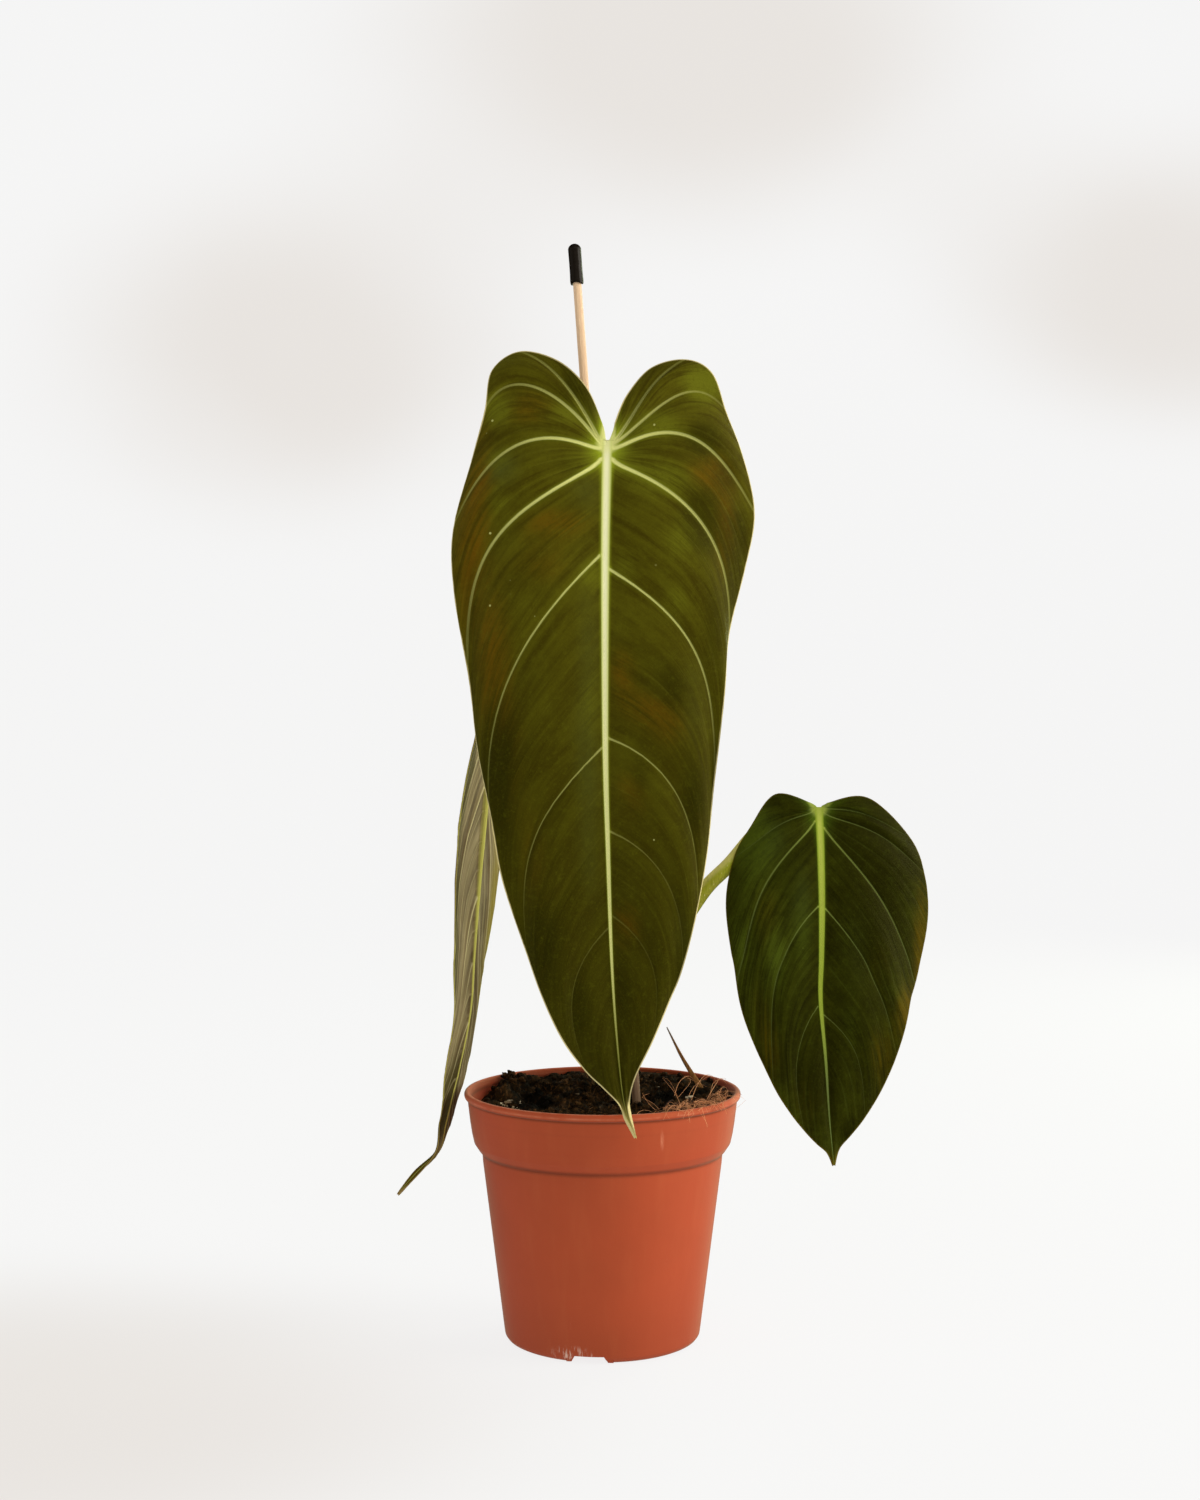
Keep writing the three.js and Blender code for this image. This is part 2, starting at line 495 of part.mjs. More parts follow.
// Fibres
// Coir strands that lie in a tangle by the right wall, a few of them hanging over the lip.
function fibres(grow) {
  let seed = 7;
  const random = () => {
    seed = (seed * 16807) % 2147483647;
    return seed / 2147483647;
  };
  const strands = [];
  for (let k = 0; k < 13; k++) {
    const x = 33 + 17 * random();
    const y = -30 + 34 * random();
    const turn = 2 * Math.PI * random();
    const reach = 6 + 7 * random();
    const ground = soilHeight(x, y);
    const end = [x + reach * Math.cos(turn), y + reach * Math.sin(turn)];
    const far = Math.hypot(end[0], end[1]);
    const kept = far > 53 ? 53 / far : 1;
    const path = [
      [CLUMP[0], CLUMP[1], soilHeight(...CLUMP) - 1],
      [(CLUMP[0] + x) / 2, (CLUMP[1] + y) / 2, ground + 1.6 + 2.4 * random()],
      [end[0] * kept, end[1] * kept, Math.max(soilHeight(end[0], end[1]) + 0.4, ground + 3 * random())],
    ];
    strands.push(rod(path, (t) => 0.55 - 0.2 * t + grow, 3, 4));
  }
  const hanging = [
    [[...CLUMP, 103], [41, -34, 107], [40.2, -41.2, 110.2], [41.4, -46.6, 108], [43.5, -46.4, 100.8]],
    [[...CLUMP, 103], [37, -33, 106.5], [35, -43.4, 110.2], [35.4, -50.6, 107.8], [36.1, -50.9, 103.6]],
    [[...CLUMP, 103], [47, -26, 107.5], [49, -33, 109.9], [50.4, -37.4, 108.4], [52, -38, 104.6]],
  ];
  hanging.forEach((path) => strands.push(rod(path, (t) => 0.6 - 0.2 * t + grow, 4, 9)));
  const clump = solidOf(new THREE.SphereGeometry(1, 8, 6).scale(7 + grow, 5.5 + grow, 2.4 + grow)
    .translate(...CLUMP, soilHeight(...CLUMP)));
  return joined([clump, ...strands]);
}

// Tie
// A loop of garden tie round the stake and the large leaf's petiole.
function tie() {
  const petioleCurve = new THREE.CatmullRomCurve3(PETIOLES.petiole_large.map(vector), false, "catmullrom", 0.5);
  const nearest = Array.from({ length: 401 }, (_, i) => petioleCurve.getPointAt(i / 400))
    .reduce((best, p) => (Math.abs(p.z - TIE.height) < Math.abs(best.z - TIE.height) ? p : best));
  const [foot, top] = [vector(STAKE.foot), vector(STAKE.top)];
  const stakeAt = foot.clone().lerp(top, (TIE.height - foot.z) / (top.z - foot.z));
  const rounds = [
    { centre: stakeAt, radius: STAKE.radius + GAP + TIE.radius + 0.15 },
    { centre: nearest, radius: PETIOLE_RADIUS + GAP + TIE.radius + 0.35 },
  ];
  const positions = [];
  for (let k = 0; k < TIE.steps; k++) {
    const angle = (2 * Math.PI * k) / TIE.steps;
    const out = new THREE.Vector3(Math.cos(angle), Math.sin(angle), 0);
    const reach = (round) => round.centre.dot(out) + round.radius;
    const round = reach(rounds[0]) > reach(rounds[1]) ? rounds[0] : rounds[1];
    const centre = round.centre.clone().addScaledVector(out, round.radius).setZ(TIE.height);
    for (let s = 0; s < TIE.sides; s++) {
      const turn = (2 * Math.PI * s) / TIE.sides;
      const point = centre.clone().addScaledVector(out, TIE.radius * Math.cos(turn));
      positions.push(point.x, point.y, point.z + TIE.radius * Math.sin(turn));
    }
  }
  const triangles = [];
  for (let k = 0; k < TIE.steps; k++) {
    const ahead = (k + 1) % TIE.steps;
    for (let s = 0; s < TIE.sides; s++) {
      const next = (s + 1) % TIE.sides;
      const [a, b] = [k * TIE.sides + s, k * TIE.sides + next];
      const [c, d] = [ahead * TIE.sides + s, ahead * TIE.sides + next];
      triangles.push(a, b, c, b, d, c);
    }
  }
  return solidOf(indexed(positions, triangles));
}

// Assembly
const stemRoom = stem(GAP);
const stakeRoom = stakeRod(STAKE.radius + GAP, -0.0007, 1);
const holes = joined([stemRoom, stakeRoom, drySheath(GAP), fibres(GAP)]);
const sheath = stemSheath().subtract(stemRoom).subtract(petiole(PETIOLES.petiole_large, GAP));
const leaves = [
  ["large", LARGE_LEAF, LARGE_LEAF_GREEN],
  ["left", LEFT_LEAF, LEFT_LEAF_GREEN],
  ["right", RIGHT_LEAF, RIGHT_LEAF_GREEN],
];

const plant = new THREE.Group();
plant.add(
  piece("pot", pot(), TERRACOTTA, 0.55),
  piece("soil", soil(holes), PEAT, 0.95),
  piece("stake", stakeRod(STAKE.radius, 0, 1), BAMBOO, 0.6),
  piece("stake_tip", stakeTip(), BLACK, 0.25),
  piece("stem", stem(0), STEM_GREEN, 0.6),
  piece("stem_sheath", sheath, SHEATH_GREEN, 0.6),
  piece("dried_sheath", drySheath(0), DRY_BROWN, 0.8),
  piece("fibre_tuft", fibres(0), FIBRE_BROWN, 0.9),
  piece("tie", tie(), TIE_GREEN, 0.5),
);
for (const [side, leaf, color] of leaves) {
  const stalk = petiole(PETIOLES[`petiole_${side}`], 0).subtract(stemRoom).subtract(blade(leaf, GAP));
  plant.add(
    piece(`leaf_${side}`, blade(leaf), color, 0.55),
    piece(`petiole_${side}`, stalk, PETIOLE_GREEN, 0.5),
  );
}

export default plant;
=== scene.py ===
"""A potted philodendron melanochrysum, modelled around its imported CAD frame.

Three velvet leaves on long stalks, a climbing stem with aerial roots, a bamboo stake with a dipped
tip, peat soil with loose fibres, and a round plastic nursery pot. Lengths in the tables are
millimetres in the frame of the CAD part; meshes are in metres.
"""

import math
import random
from bisect import bisect_right

import bpy
from mathutils import Matrix, Vector, noise
from mathutils.kdtree import KDTree


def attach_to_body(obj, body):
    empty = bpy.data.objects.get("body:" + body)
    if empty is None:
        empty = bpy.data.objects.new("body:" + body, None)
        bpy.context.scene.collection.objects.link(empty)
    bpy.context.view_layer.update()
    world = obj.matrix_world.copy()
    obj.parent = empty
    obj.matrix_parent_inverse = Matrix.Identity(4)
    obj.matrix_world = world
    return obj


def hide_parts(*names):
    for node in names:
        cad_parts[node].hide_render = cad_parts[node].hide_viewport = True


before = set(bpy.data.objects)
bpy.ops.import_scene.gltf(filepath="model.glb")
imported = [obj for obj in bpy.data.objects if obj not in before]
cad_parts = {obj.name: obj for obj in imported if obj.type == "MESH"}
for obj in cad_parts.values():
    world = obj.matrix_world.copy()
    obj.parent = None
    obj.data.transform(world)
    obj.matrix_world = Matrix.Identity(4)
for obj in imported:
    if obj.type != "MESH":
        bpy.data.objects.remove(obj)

bl_info = {
    "name": "Potted Philodendron",
    "version": (1, 0, 0),
    "blender": (4, 5, 0),
    "location": "3D View > Sidebar > Philodendron",
    "description": "Models a potted philodendron melanochrysum around its CAD frame",
    "category": "Object",
}

MM = 0.001
SEED = 11

# Pot, as radius and height along its wall
POT_OUTSIDE = [
    (0, 0), (39.3, 0), (41.2, 0.9), (42.3, 2.4), (42.6, 4.2), (51.9, 77.5), (52.2, 81.4), (53.6, 82.8),
    (55.7, 86), (56.6, 90), (57.4, 95), (58.3, 102.4), (58.5, 104.9), (59.6, 105.3), (60, 106.1),
    (60, 107.3), (59.3, 108.2), (58.1, 108.2),
]
POT_INSIDE = [
    (57.4, 107.4), (56.9, 102.4), (56.2, 95), (55.5, 90), (54.5, 86), (51.3, 81.4), (50.5, 77.5),
    (41.2, 4.4), (40.2, 2.4), (38.6, 1.4), (0, 1.4),
]
CHANNEL_ANGLES = (-97.6, 22.4, 142.4)
CHANNEL_INNER = 18
CHANNEL_SLOPE = 2.4
RIDGE_OUTER = 40.6
RIDGE_WALL = 1.4
DRAIN_HOLES = (23, 34)

# Soil: its level in front, its highest grain, its edge, its side down the pot's wall, and its heaps
SOIL_LEVEL = 101
SOIL_TOP = 107
SOIL_EDGE = 56.4
SOIL_SIDE = [(55.2, 90), (54.1, 86), (50.9, 81.4), (50.1, 77.5), (41.0, 6.4), (40.2, 5.2), (0, 5.2)]
SOIL_RINGS = 74
CRUMB_HEAP = (-40, 34)
CHIP_HEAP = (-40, 2)

# Stake, stem and stalks
STAKE_FOOT = Vector((21.4, -1.2, 12))
STAKE_TOP = Vector((-11.9, 5.2, 470))
TIP_LENGTH = 17.4
TIP_CROWN = 4.4
DRIP_HEIGHT = 3
STEM = [(5, 29, 80), (5, 26, 102), (6.5, 22, 128), (3.5, 18, 158), (5, 15, 188), (4, 14, 206)]
LEAF_SCARS = (0.2, 0.39, 0.62, 0.86)
AERIAL_ROOTS = [
    ([(6, 24, 124), (11, 27, 119), (13, 29, 108), (13.5, 30, 94)], 1.2),
    ([(3, 20, 128), (-3, 24, 122), (-4, 28, 110), (-3.5, 30, 94)], 1.1),
    ([(4, 19, 156), (8, 25, 150), (8, 31, 140), (6.5, 35, 124), (6, 37, 96)], 1.3),
    ([(4, 15, 191), (9, 18, 187), (12.5, 22, 177), (13, 25, 162)], 1.0),
]
STALKS = {
    "large": [(5, 15, 186), (8, 15, 203), (8.5, 11, 245), (6.8, 7.4, 300), (5, -6, 350), (3.5, -24, 376),
              (1.9, -36.2, 379)],
    "left": [(4, 18, 158), (1, 27, 176), (-9, 37, 216), (-25, 42, 256), (-38, 42, 273),
             (-44.6, 39.4, 276.4)],
    "right": [(6, 22, 126), (17, 18, 144), (30.5, 13, 171), (44.2, 11.5, 193.2), (56, 12, 205.4),
              (70, 18, 220.5), (84, 20.5, 227.4), (94.8, 15.4, 225.2)],
}
STALK_FULLNESS = {"large": 1.0, "left": 1.0, "right": 1.36}
GREEN_SHEATH = [(3.6, 14.2, 200), (0.6, 14.6, 214), (-2.6, 14, 230), (-6, 12, 248)]
DRIED_SHEATH = [(47, 16.5, 95), (43.8, 15.6, 105), (39, 15, 113.2), (34.4, 15, 121), (28.4, 15, 133)]
TIE_HEIGHT = 300
TIE_FROM_STAKE = 2.15
TIE_FROM_STALK = 3.25

# Coir tuft: which way its heap lies from the pot's middle, how far out it reaches, how many short
# strands lie across the lip, and the long strands that hang over the lip or arch above the soil
TUFT_BEARING = -49
TUFT_EDGE = 54.5
LIP_STRANDS = 26
HANGING_STRANDS = [
    [(43, -20, 103), (41, -34, 107), (40.2, -41.2, 110.2), (41.4, -46.6, 108), (43.5, -46.4, 100.8)],
    [(43, -20, 103), (37, -33, 106.5), (35, -43.4, 110.2), (35.4, -50.6, 107.8), (36.1, -50.9, 103.6)],
    [(43, -20, 103), (47, -26, 107.5), (49, -33, 109.9), (50.4, -37.4, 108.4), (52, -38, 104.6)],
    [(40, -24, 104), (33, -37, 107), (30, -45, 109.6), (27, -53.4, 109.4), (25, -55, 105.4)],
    [(46, -16, 104), (51, -21, 108), (54, -24, 109.7), (56.4, -25.6, 108), (56.6, -26, 104)],
]
CLIMBING_STRANDS = [
    [(38, -12, 105), (41, -2, 110), (45, 10, 112.5), (49, 20, 110.4), (50.6, 24.6, 107)],
    [(44, -14, 105), (49, -4, 111), (52, 6, 112), (54.6, 12, 108.4)],
    [(30, -14, 104), (33, -6, 112), (38, 2, 113.6), (42, 6, 108)],
    [(34, -22, 104), (31, -20, 110), (27.4, -16, 114), (25.8, -13, 115.4)],
    [(24, -28, 103), (20, -30, 107), (17.5, -29, 110.4), (17, -27.5, 111.6)],
]

# Leaf blades. Each row is one line of the fan that the veins follow: where it leaves the midrib, its
# heading there, margin out, margin down, its heading at the margin, and then, unless they are the
# usual ones, the reach of its two handles as a share of its length. ribs is how strong its vein is.
# pale is how clearly it shows at left and right, and how soon it fades towards the margin. faces is
# which way the upper side looks, and turns how many degrees it twists along the midrib. fold and curl
# bend the two halves, lean tips the lobes, quilt swells the blade between its veins, wave ripples the
# margin, and join is how far each line bends to meet the midrib.
USUAL_HANDLES = (0.36, 0.36)
LARGE_LEAF = {
    "midrib": [(1.9, -38, 384.3), (1.1, -47, 335.5), (1.1, -60, 261.8), (2.2, -66, 216.3),
               (3.7, -70, 172.5), (5.8, -72, 141.2), (8.6, -73, 116.2), (13.1, -73, 102.5)],
    "faces": (0, -1, 0.1), "turns": (0, 0), "fold": 0.22, "curl": 95, "lean": 0.1,
    "quilt": 1.5, "wave": 1.6, "wave_rows": 3.3, "midrib_width": (5.5, 1.3), "midrib_depth": (3, 0.7),
    "pale_midrib": 2.15, "join": 2.9,
    "ribs": (0, 0, 0, 0.6, 0, 0.7, 0, 1, 0, 1, 0, 1, 0, 0.9, 0.4, 0, 0.6, 0, 0, 0, 0),
    "vein_width": 1.0,
    "pale": {3: (1, 1, 0.5), 5: (0.95, 0.9, 0.6), 7: (1, 1, 0.75), 9: (1, 1, 0.75),
             11: (0.68, 0.72, 1.2), 13: (0.4, 0.42, 1.1), 14: (0.02, 0.28, 0.4), 16: (0.12, 0.1, 0.8)},
    "left": [
        (-1.7, 170, 1.7, -8, 165), (-1.2, 160, 9.2, -23.5, 155),
        (-0.9, 154, 22, -35.8, 134), (0, 150, 38, -40.5, 110, 0.33, 0.33),
        (0.7, 147, 49, -32, 62, 0.42, 0.38), (1.4, 145, 51.5, -14, 24, 0.52, 0.47),
        (2.6, 130, 57.5, 5, 24, 0.52, 0.43), (4, 114, 65, 34, 26, 0.53, 0.39),
        (6, 86, 63.5, 61, 12, 0.49, 0.46), (9, 58, 57.5, 97, -3, 0.45, 0.53),
        (28, 51, 54, 124, -3, 0.4, 0.47), (48, 44, 47.5, 153, -5, 0.35, 0.41),
        (86, 39, 43.3, 181, -5, 0.41, 0.48), (128, 45, 34, 212, -6, 0.4, 0.5),
        (162, 36, 28.5, 228, 0, 0.48, 0.45), (182, 42, 21.5, 245, 0, 0.52, 0.3),
        (201, 48, 14, 257, -3, 0.6, 0.16), (225, 38, 7.5, 264.5, 2, 0.5, 0.2),
        (250, 24, 2.6, 271.5, 3, 0.42, 0.3), (268, 14, 1.6, 278, 3),
        (286.2, 12, 0.5, 286.5, 2)],
    "right": [
        (-1.7, 160, 3.2, -8, 170), (-1.2, 156, 8.5, -21.5, 168),
        (-0.9, 147, 18, -33.5, 152, 0.33, 0.36), (0, 138, 32, -37, 122, 0.31, 0.42),
        (0.7, 132, 43.5, -31.5, 78, 0.36, 0.5), (1.4, 127, 50.5, -16, 42, 0.4, 0.5),
        (2.6, 125, 57, 1, 36, 0.49, 0.46), (4, 123, 62.6, 27, 31, 0.57, 0.42),
        (6, 96, 59.4, 52, 14, 0.47, 0.46), (9, 70, 52, 81, -3, 0.38, 0.48),
        (30, 64, 49, 106, -3, 0.41, 0.48), (54, 57, 44.5, 143, -2, 0.44, 0.48),
        (88, 62, 41.5, 168, -3, 0.42, 0.45), (124, 68, 35.5, 194.5, -4, 0.4, 0.42),
        (162, 65, 28.3, 219, -6, 0.5, 0.24), (179, 60, 22.5, 232, -5, 0.53, 0.2),
        (196, 54, 14.8, 247, -5, 0.57, 0.18), (222, 38, 6.5, 261, 2, 0.46, 0.24),
        (250, 24, 2.2, 271.5, 3, 0.4, 0.3), (268, 14, 1.4, 278, 3),
        (286.2, 12, 0.5, 286.5, 2)],
}
RIGHT_LEAF = {
    "midrib": [(95, 14, 230.1), (95.4, 9, 211.7), (95.5, 4, 188.6), (95, 0, 165.7), (94.4, -3, 147.6),
               (96.4, -6, 122), (97.9, -8, 97.2), (99.9, -9, 76.7)],
    "faces": (0.05, -1, 0.12), "turns": (0, 0), "fold": 0.16, "curl": 90, "lean": 0.6,
    "quilt": 1.1, "wave": 0.8, "wave_rows": 3.1, "midrib_width": (4.4, 1.2), "midrib_depth": (2.6, 0.6),
    "pale_midrib": 1.9, "join": 2.9,
    "ribs": (0, 0, 0.5, 0.7, 0, 1, 0, 0.8, 0, 0.6, 0, 0, 0), "vein_width": 0.58,
    "pale": {2: (0.1, 0.6, 0.25), 3: (0.65, 0.65, 0.22), 5: (1, 1, 0.2), 7: (0.75, 0.72, 0.2),
             9: (0.45, 0.4, 0.25)},
    "left": [
        (-0.6, 128, 3.4, -2.2, 128), (0, 96, 19, -6, 112),
        (1.5, 84, 30.5, 8, 62), (3, 82, 38.5, 22, 60, 0.45, 0.4),
        (5.5, 62, 42, 45, 20, 0.45, 0.42), (8, 47, 36.5, 79, 12, 0.5, 0.47),
        (26, 47, 30.5, 101, 8, 0.42, 0.4), (44, 47, 23.5, 120, 1, 0.35, 0.34),
        (66, 45, 17.5, 131, 0, 0.42, 0.3), (87, 41, 11.5, 139.5, -4, 0.5, 0.25),
        (108, 30, 6.8, 145.5, 2, 0.42, 0.3), (128, 18, 2.8, 150, 6),
        (155.6, 14, 0.5, 156, 2)],
    "right": [
        (-0.6, 124, 3.8, -1.8, 124), (0, 102, 22, -4, 116),
        (1.5, 96, 41.2, 13.5, 66, 0.4, 0.34), (4, 74, 46.8, 29, 48, 0.5, 0.42),
        (7, 58, 48, 50, 30, 0.49, 0.42), (11, 41, 43, 75, 22, 0.49, 0.42), (28, 42, 38, 95, 14, 0.47, 0.42),
        (45, 42, 31, 111, 6, 0.46, 0.43), (68, 44, 23.5, 125, 4, 0.45, 0.42),
        (91, 46, 15.5, 136, 0, 0.45, 0.42), (110, 34, 8.5, 143.5, 4, 0.4, 0.36),
        (128, 18, 3.2, 149, 6), (155.6, 14, 0.5, 156, 2)],
}
LEFT_LEAF = {
    "midrib": [(-46.5, 40, 281.5), (-51.3, 32, 250.3), (-54.5, 23, 212.9), (-56, 18, 191.2),
               (-57.5, 12, 165.7), (-58.8, 8, 141.6), (-63, 4, 118.5), (-66.4, 2, 104), (-68.9, 0, 92.5),
               (-71.6, -2, 81.1), (-80.3, -5, 72.6), (-88.8, -8, 63.3)],
    "faces": (-1, 0, 0.02), "turns": (-6, -4, -10, -9.8, -7, -8, -9, -15, -24, 2, 36, 42),
    "fold": 0.035, "curl": 500, "lean": 0.4,
    "quilt": 0.9, "wave": 0.6, "wave_rows": 2.9, "midrib_width": (4.8, 1.0), "midrib_depth": (2.8, 0.2),
    "pale_midrib": 2.6, "join": 0.0,
    "ribs": (0, 0, 0.7, 0, 0.7, 1, 0, 1, 0, 1, 0, 1, 0.5, 0.8, 0, 0, 0), "vein_width": 0.9,
    "pale": {2: (0.7, 0.7, 2), 4: (0.7, 0.7, 2), 5: (1, 1, 2), 7: (1, 1, 2), 9: (1, 1, 2),
             11: (0.9, 0.9, 2), 12: (0.5, 0.5, 2), 13: (0.7, 0.7, 2)},
    "left": [
        (-1, 170, 3, -8, 174), (-0.4, 155, 13, -25, 140), (0, 146, 26, -30, 100), (1, 132, 37, -22, 52),
        (1.8, 120, 42, -6, 22), (3.5, 98, 45.5, 24, 8), (5.5, 76, 46, 46, 4), (8, 54, 45, 74, 2),
        (26, 52, 37.5, 100, 3), (44, 50, 30.5, 126, 5), (72, 49, 25, 146, 8), (98, 46, 19.5, 164, 8),
        (128, 44, 15.5, 178, 12), (152, 40, 9.4, 190, 14), (174, 28, 4.4, 199, 8), (198, 14, 2.2, 219, 5),
        (231.6, 12, 0.2, 232, 2)],
    "right": [
        (-1, 170, 3, -8, 174), (-0.4, 155, 13, -25, 140), (0, 146, 27, -31, 100), (1, 132, 38, -23, 52),
        (1.8, 120, 43, -6, 22), (3.5, 98, 46.5, 24, 8), (5.5, 76, 47, 46, 4), (8, 54, 45, 74, 2),
        (24, 52, 42.5, 98, 3), (42, 50, 39, 124, 5), (70, 49, 33, 143, 8), (95, 46, 24.5, 160, 8),
        (124, 44, 17, 172, 12), (150, 40, 9.8, 184, 14), (174, 28, 4.4, 197, 8), (198, 14, 2.2, 219, 5),
        (231.6, 12, 0.2, 232, 2)],
}

# Soft patches of colour on a flat leaf: out from the midrib (left is negative), down, half width, half
# length and strength. The grey-green patches are painted sheen, and the darkest patches are partly the
# leaf's own darker tone and partly painted shade.
LARGE_PATCHES = {
    "bronze": [
        (-34, -14, 12, 8, 0.7), (-52, 18, 6, 30, 0.7), (-58, 52, 7, 34, 0.8), (-46, 92, 8, 30, 0.9),
        (-20, 35, 14, 7, 0.75), (-26, 52, 12, 10, 0.5), (-40, 130, 7, 24, 0.7), (42, 12, 10, 8, 1.0),
        (50, 36, 6, 22, 0.9), (7, 98, 6, 12, 0.8), (17, 112, 10, 8, 0.75), (26, 120, 8, 10, 0.7),
        (10, 148, 8, 12, 0.6), (-30, 176, 8, 26, 0.5), (7, 200, 6, 8, 1.3), (39, 152, 5, 24, 0.3),
    ],
    "dark_and_shade": [
        (-14, -26, 6, 12, 0.9), (-7, -18, 3, 10, 0.9), (40, -2, 8, 8, 1.2), (40, 33, 9, 13, 1.5),
        (55, 38, 6, 14, 1.0), (54, 62, 5, 16, 0.8), (50, 12, 6, 7, 1.0), (45, 78, 6, 28, 0.6),
        (-44, 140, 8, 40, 0.9), (-28, 204, 8, 26, 0.6), (28, 104, 7, 12, 0.7), (36, 150, 7, 20, 0.8),
        (-26, 58, 9, 16, 0.4), (-56, 66, 4, 24, 0.6), (-16, 10, 8, 6, 0.5), (-36, 128, 8, 14, 0.4),
        (14, 140, 5, 14, 0.5), (-14, 232, 6, 16, 0.5), (4, 226, 5, 20, 0.4), (20, 96, 8, 12, 0.3),
    ],
    "sage_sheen": [
        (-44, 12, 8, 8, 0.9), (-8, 20, 8, 10, 0.6), (-7, 84, 6, 30, 0.6), (-8, 136, 6, 26, 0.7),
        (36, 16, 8, 8, 0.3), (36, 112, 6, 26, 0.4), (-8, 176, 5, 20, 0.5), (30, 206, 6, 16, 0.6),
    ],
    "green": [
        (-46, -14, 8, 8, 1.0), (-16, -12, 9, 6, 0.8), (40, -26, 8, 8, 1.7), (20, -6, 10, 7, 1.2),
        (24, 16, 12, 8, 1.0), (-44, 26, 6, 6, 0.6), (-46, 8, 7, 6, 0.6), (-6, 56, 6, 8, 0.7),
        (8, 54, 6, 8, 0.7), (30, 42, 7, 10, 0.6), (28, 68, 8, 8, 0.6), (6, 8, 10, 7, 1.0),
        (-7, 8, 10, 7, 0.7), (-6, 106, 5, 20, 0.4),
    ],
}
RIGHT_PATCHES = {
    "bronze": [
        (-24, 50, 7, 16, 0.65), (-28, 88, 5, 14, 0.5), (45, 60, 4, 30, 1.0), (37, 92, 5, 14, 1.5),
        (-24, 104, 6, 14, 0.5), (-10, 128, 7, 12, 0.4), (25, 112, 6, 16, 0.6), (26, 66, 6, 12, 0.3),
    ],
    "dark_and_shade": [
        (26, 12, 14, 12, 1.2), (38, 24, 8, 8, 0.8), (26, 44, 12, 26, 0.7), (10, 96, 5, 24, 0.4),
        (-18, 30, 6, 12, 0.3), (28, 88, 6, 12, 0.6), (-4, 122, 14, 18, 0.9), (12, 14, 6, 12, 0.6),
        (10, 76, 6, 14, 0.4), (22, 52, 16, 40, 0.35),
    ],
    "sage_sheen": [
        (-26, 14, 10, 12, 1.0), (-9, 44, 5, 18, 0.6), (16, 62, 6, 20, 0.4), (2, 8, 5, 10, 0.5),
    ],
    "green": [
        (-29, 16, 8, 12, 1.0), (-34, 4, 8, 6, 0.7), (-20, 66, 4, 12, 0.6), (-36, 62, 4, 12, 0.4),
        (-30, 94, 3, 14, 0.3), (-8, 58, 4, 12, 0.4), (16, 2, 8, 4, 0.4), (-31, 50, 12, 44, 0.45),
        (-14, 60, 10, 40, 0.25), (10, 60, 4, 14, 0.4), (12, 96, 5, 12, 0.4), (34, 82, 5, 10, 0.4),
    ],
}
LEFT_PATCHES = {
    "bronze": [
        (-38, 108, 9, 44, 1.2), (-26, 152, 8, 24, 0.7), (0, 218, 8, 14, 0.8),
    ],
    "dark_and_shade": [
        (44, 38, 8, 30, 1.5), (40, 90, 5, 36, 0.8), (36, 118, 7, 40, 0.8), (4, 182, 14, 18, 1.3),
        (14, 198, 8, 12, 0.9),
    ],
    "sage_sheen": [
        (20, 60, 14, 30, 0.6), (-14, 90, 10, 30, 0.5),
    ],
    "green": [],
}

# Stage, in metres apart from the surround's profile
CAMERA_PLACE = (-0.00105, -0.9968, 0.2887)
CAMERA_TILT = 0.033
LENS = 55.31
WARM_LIGHT = (1.0, 0.95, 0.84)
RIM_LIGHT = (0.86, 1.0, 0.66)
COVE_STEPS = 12
COVE_STEP = 0.13
WALL_HEIGHT = 4.0
SURROUND = [(0, -4), (6000, -4), (6600, 200), (7000, 800), (7200, 5000)]


def srgb(red, green, blue):
    """A colour given as the eye reads it, 0 to 255, as linear values."""
    def linear(value):
        value /= 255
        return value / 12.92 if value <= 0.04045 else ((value + 0.055) / 1.055) ** 2.4

    return (linear(red), linear(green), linear(blue))


def length_setting(name, description, millimetres):
    return bpy.props.FloatProperty(
        name=name, description=description, default=millimetres * MM, min=0.0, subtype="DISTANCE",
        unit="LENGTH")


def power_setting(name, description, watts):
    return bpy.props.FloatProperty(name=name, description=description, default=watts, min=0.0, unit="POWER")


def colour_setting(name, description, red, green, blue):
    return bpy.props.FloatVectorProperty(
        name=name, description=description, default=srgb(red, green, blue), min=0.0, max=1.0, size=3,
        subtype="COLOR")


def share_setting(name, description, default):
    return bpy.props.FloatProperty(
        name=name, description=description, default=default, min=0.0, max=1.0, subtype="FACTOR")


def count_setting(name, description, default):
    return bpy.props.IntProperty(name=name, description=description, default=default, min=0)


# Settings
class PotSettings(bpy.types.PropertyGroup):
    channel_width: length_setting("Channel width", "Width of each drainage channel under the base", 17.2)
    channel_height: length_setting("Channel height", "Height of each drainage channel under the base", 3.2)
    hole_radius: length_setting("Drain hole radius", "Radius of the holes in the base", 3)
    segments: count_setting("Segments", "Steps round the pot", 144)
    plastic: colour_setting("Plastic", "Terracotta colour of the moulded plastic", 182, 69, 38)
    # the dust colour is also the colour of the lip's painted highlight lines
    dust: colour_setting("Dust", "Colour of the dusty lip and the scuffs", 214, 132, 100)


class SoilSettings(bpy.types.PropertyGroup):
    crumbs: count_setting("Crumbs", "Loose crumbs of peat on the soil", 420)
    fibres: count_setting("Fibres", "Dark fibres lying on the soil", 560)
    chips: count_setting("Chips", "Pale chips in the soil", 42)
    tuft_strands: count_setting("Tuft strands", "Strands in the tuft of coir by the right wall", 270)
    peat: colour_setting("Peat", "Colour of moist peat", 20, 12, 3)
    dry_peat: colour_setting("Dry peat", "Colour of drier crumbs and fibres", 100, 68, 34)
    chip: colour_setting("Chip", "Colour of the pale chips", 214, 200, 172)
    coir: colour_setting("Coir", "Colour of the loose coir", 232, 164, 112)


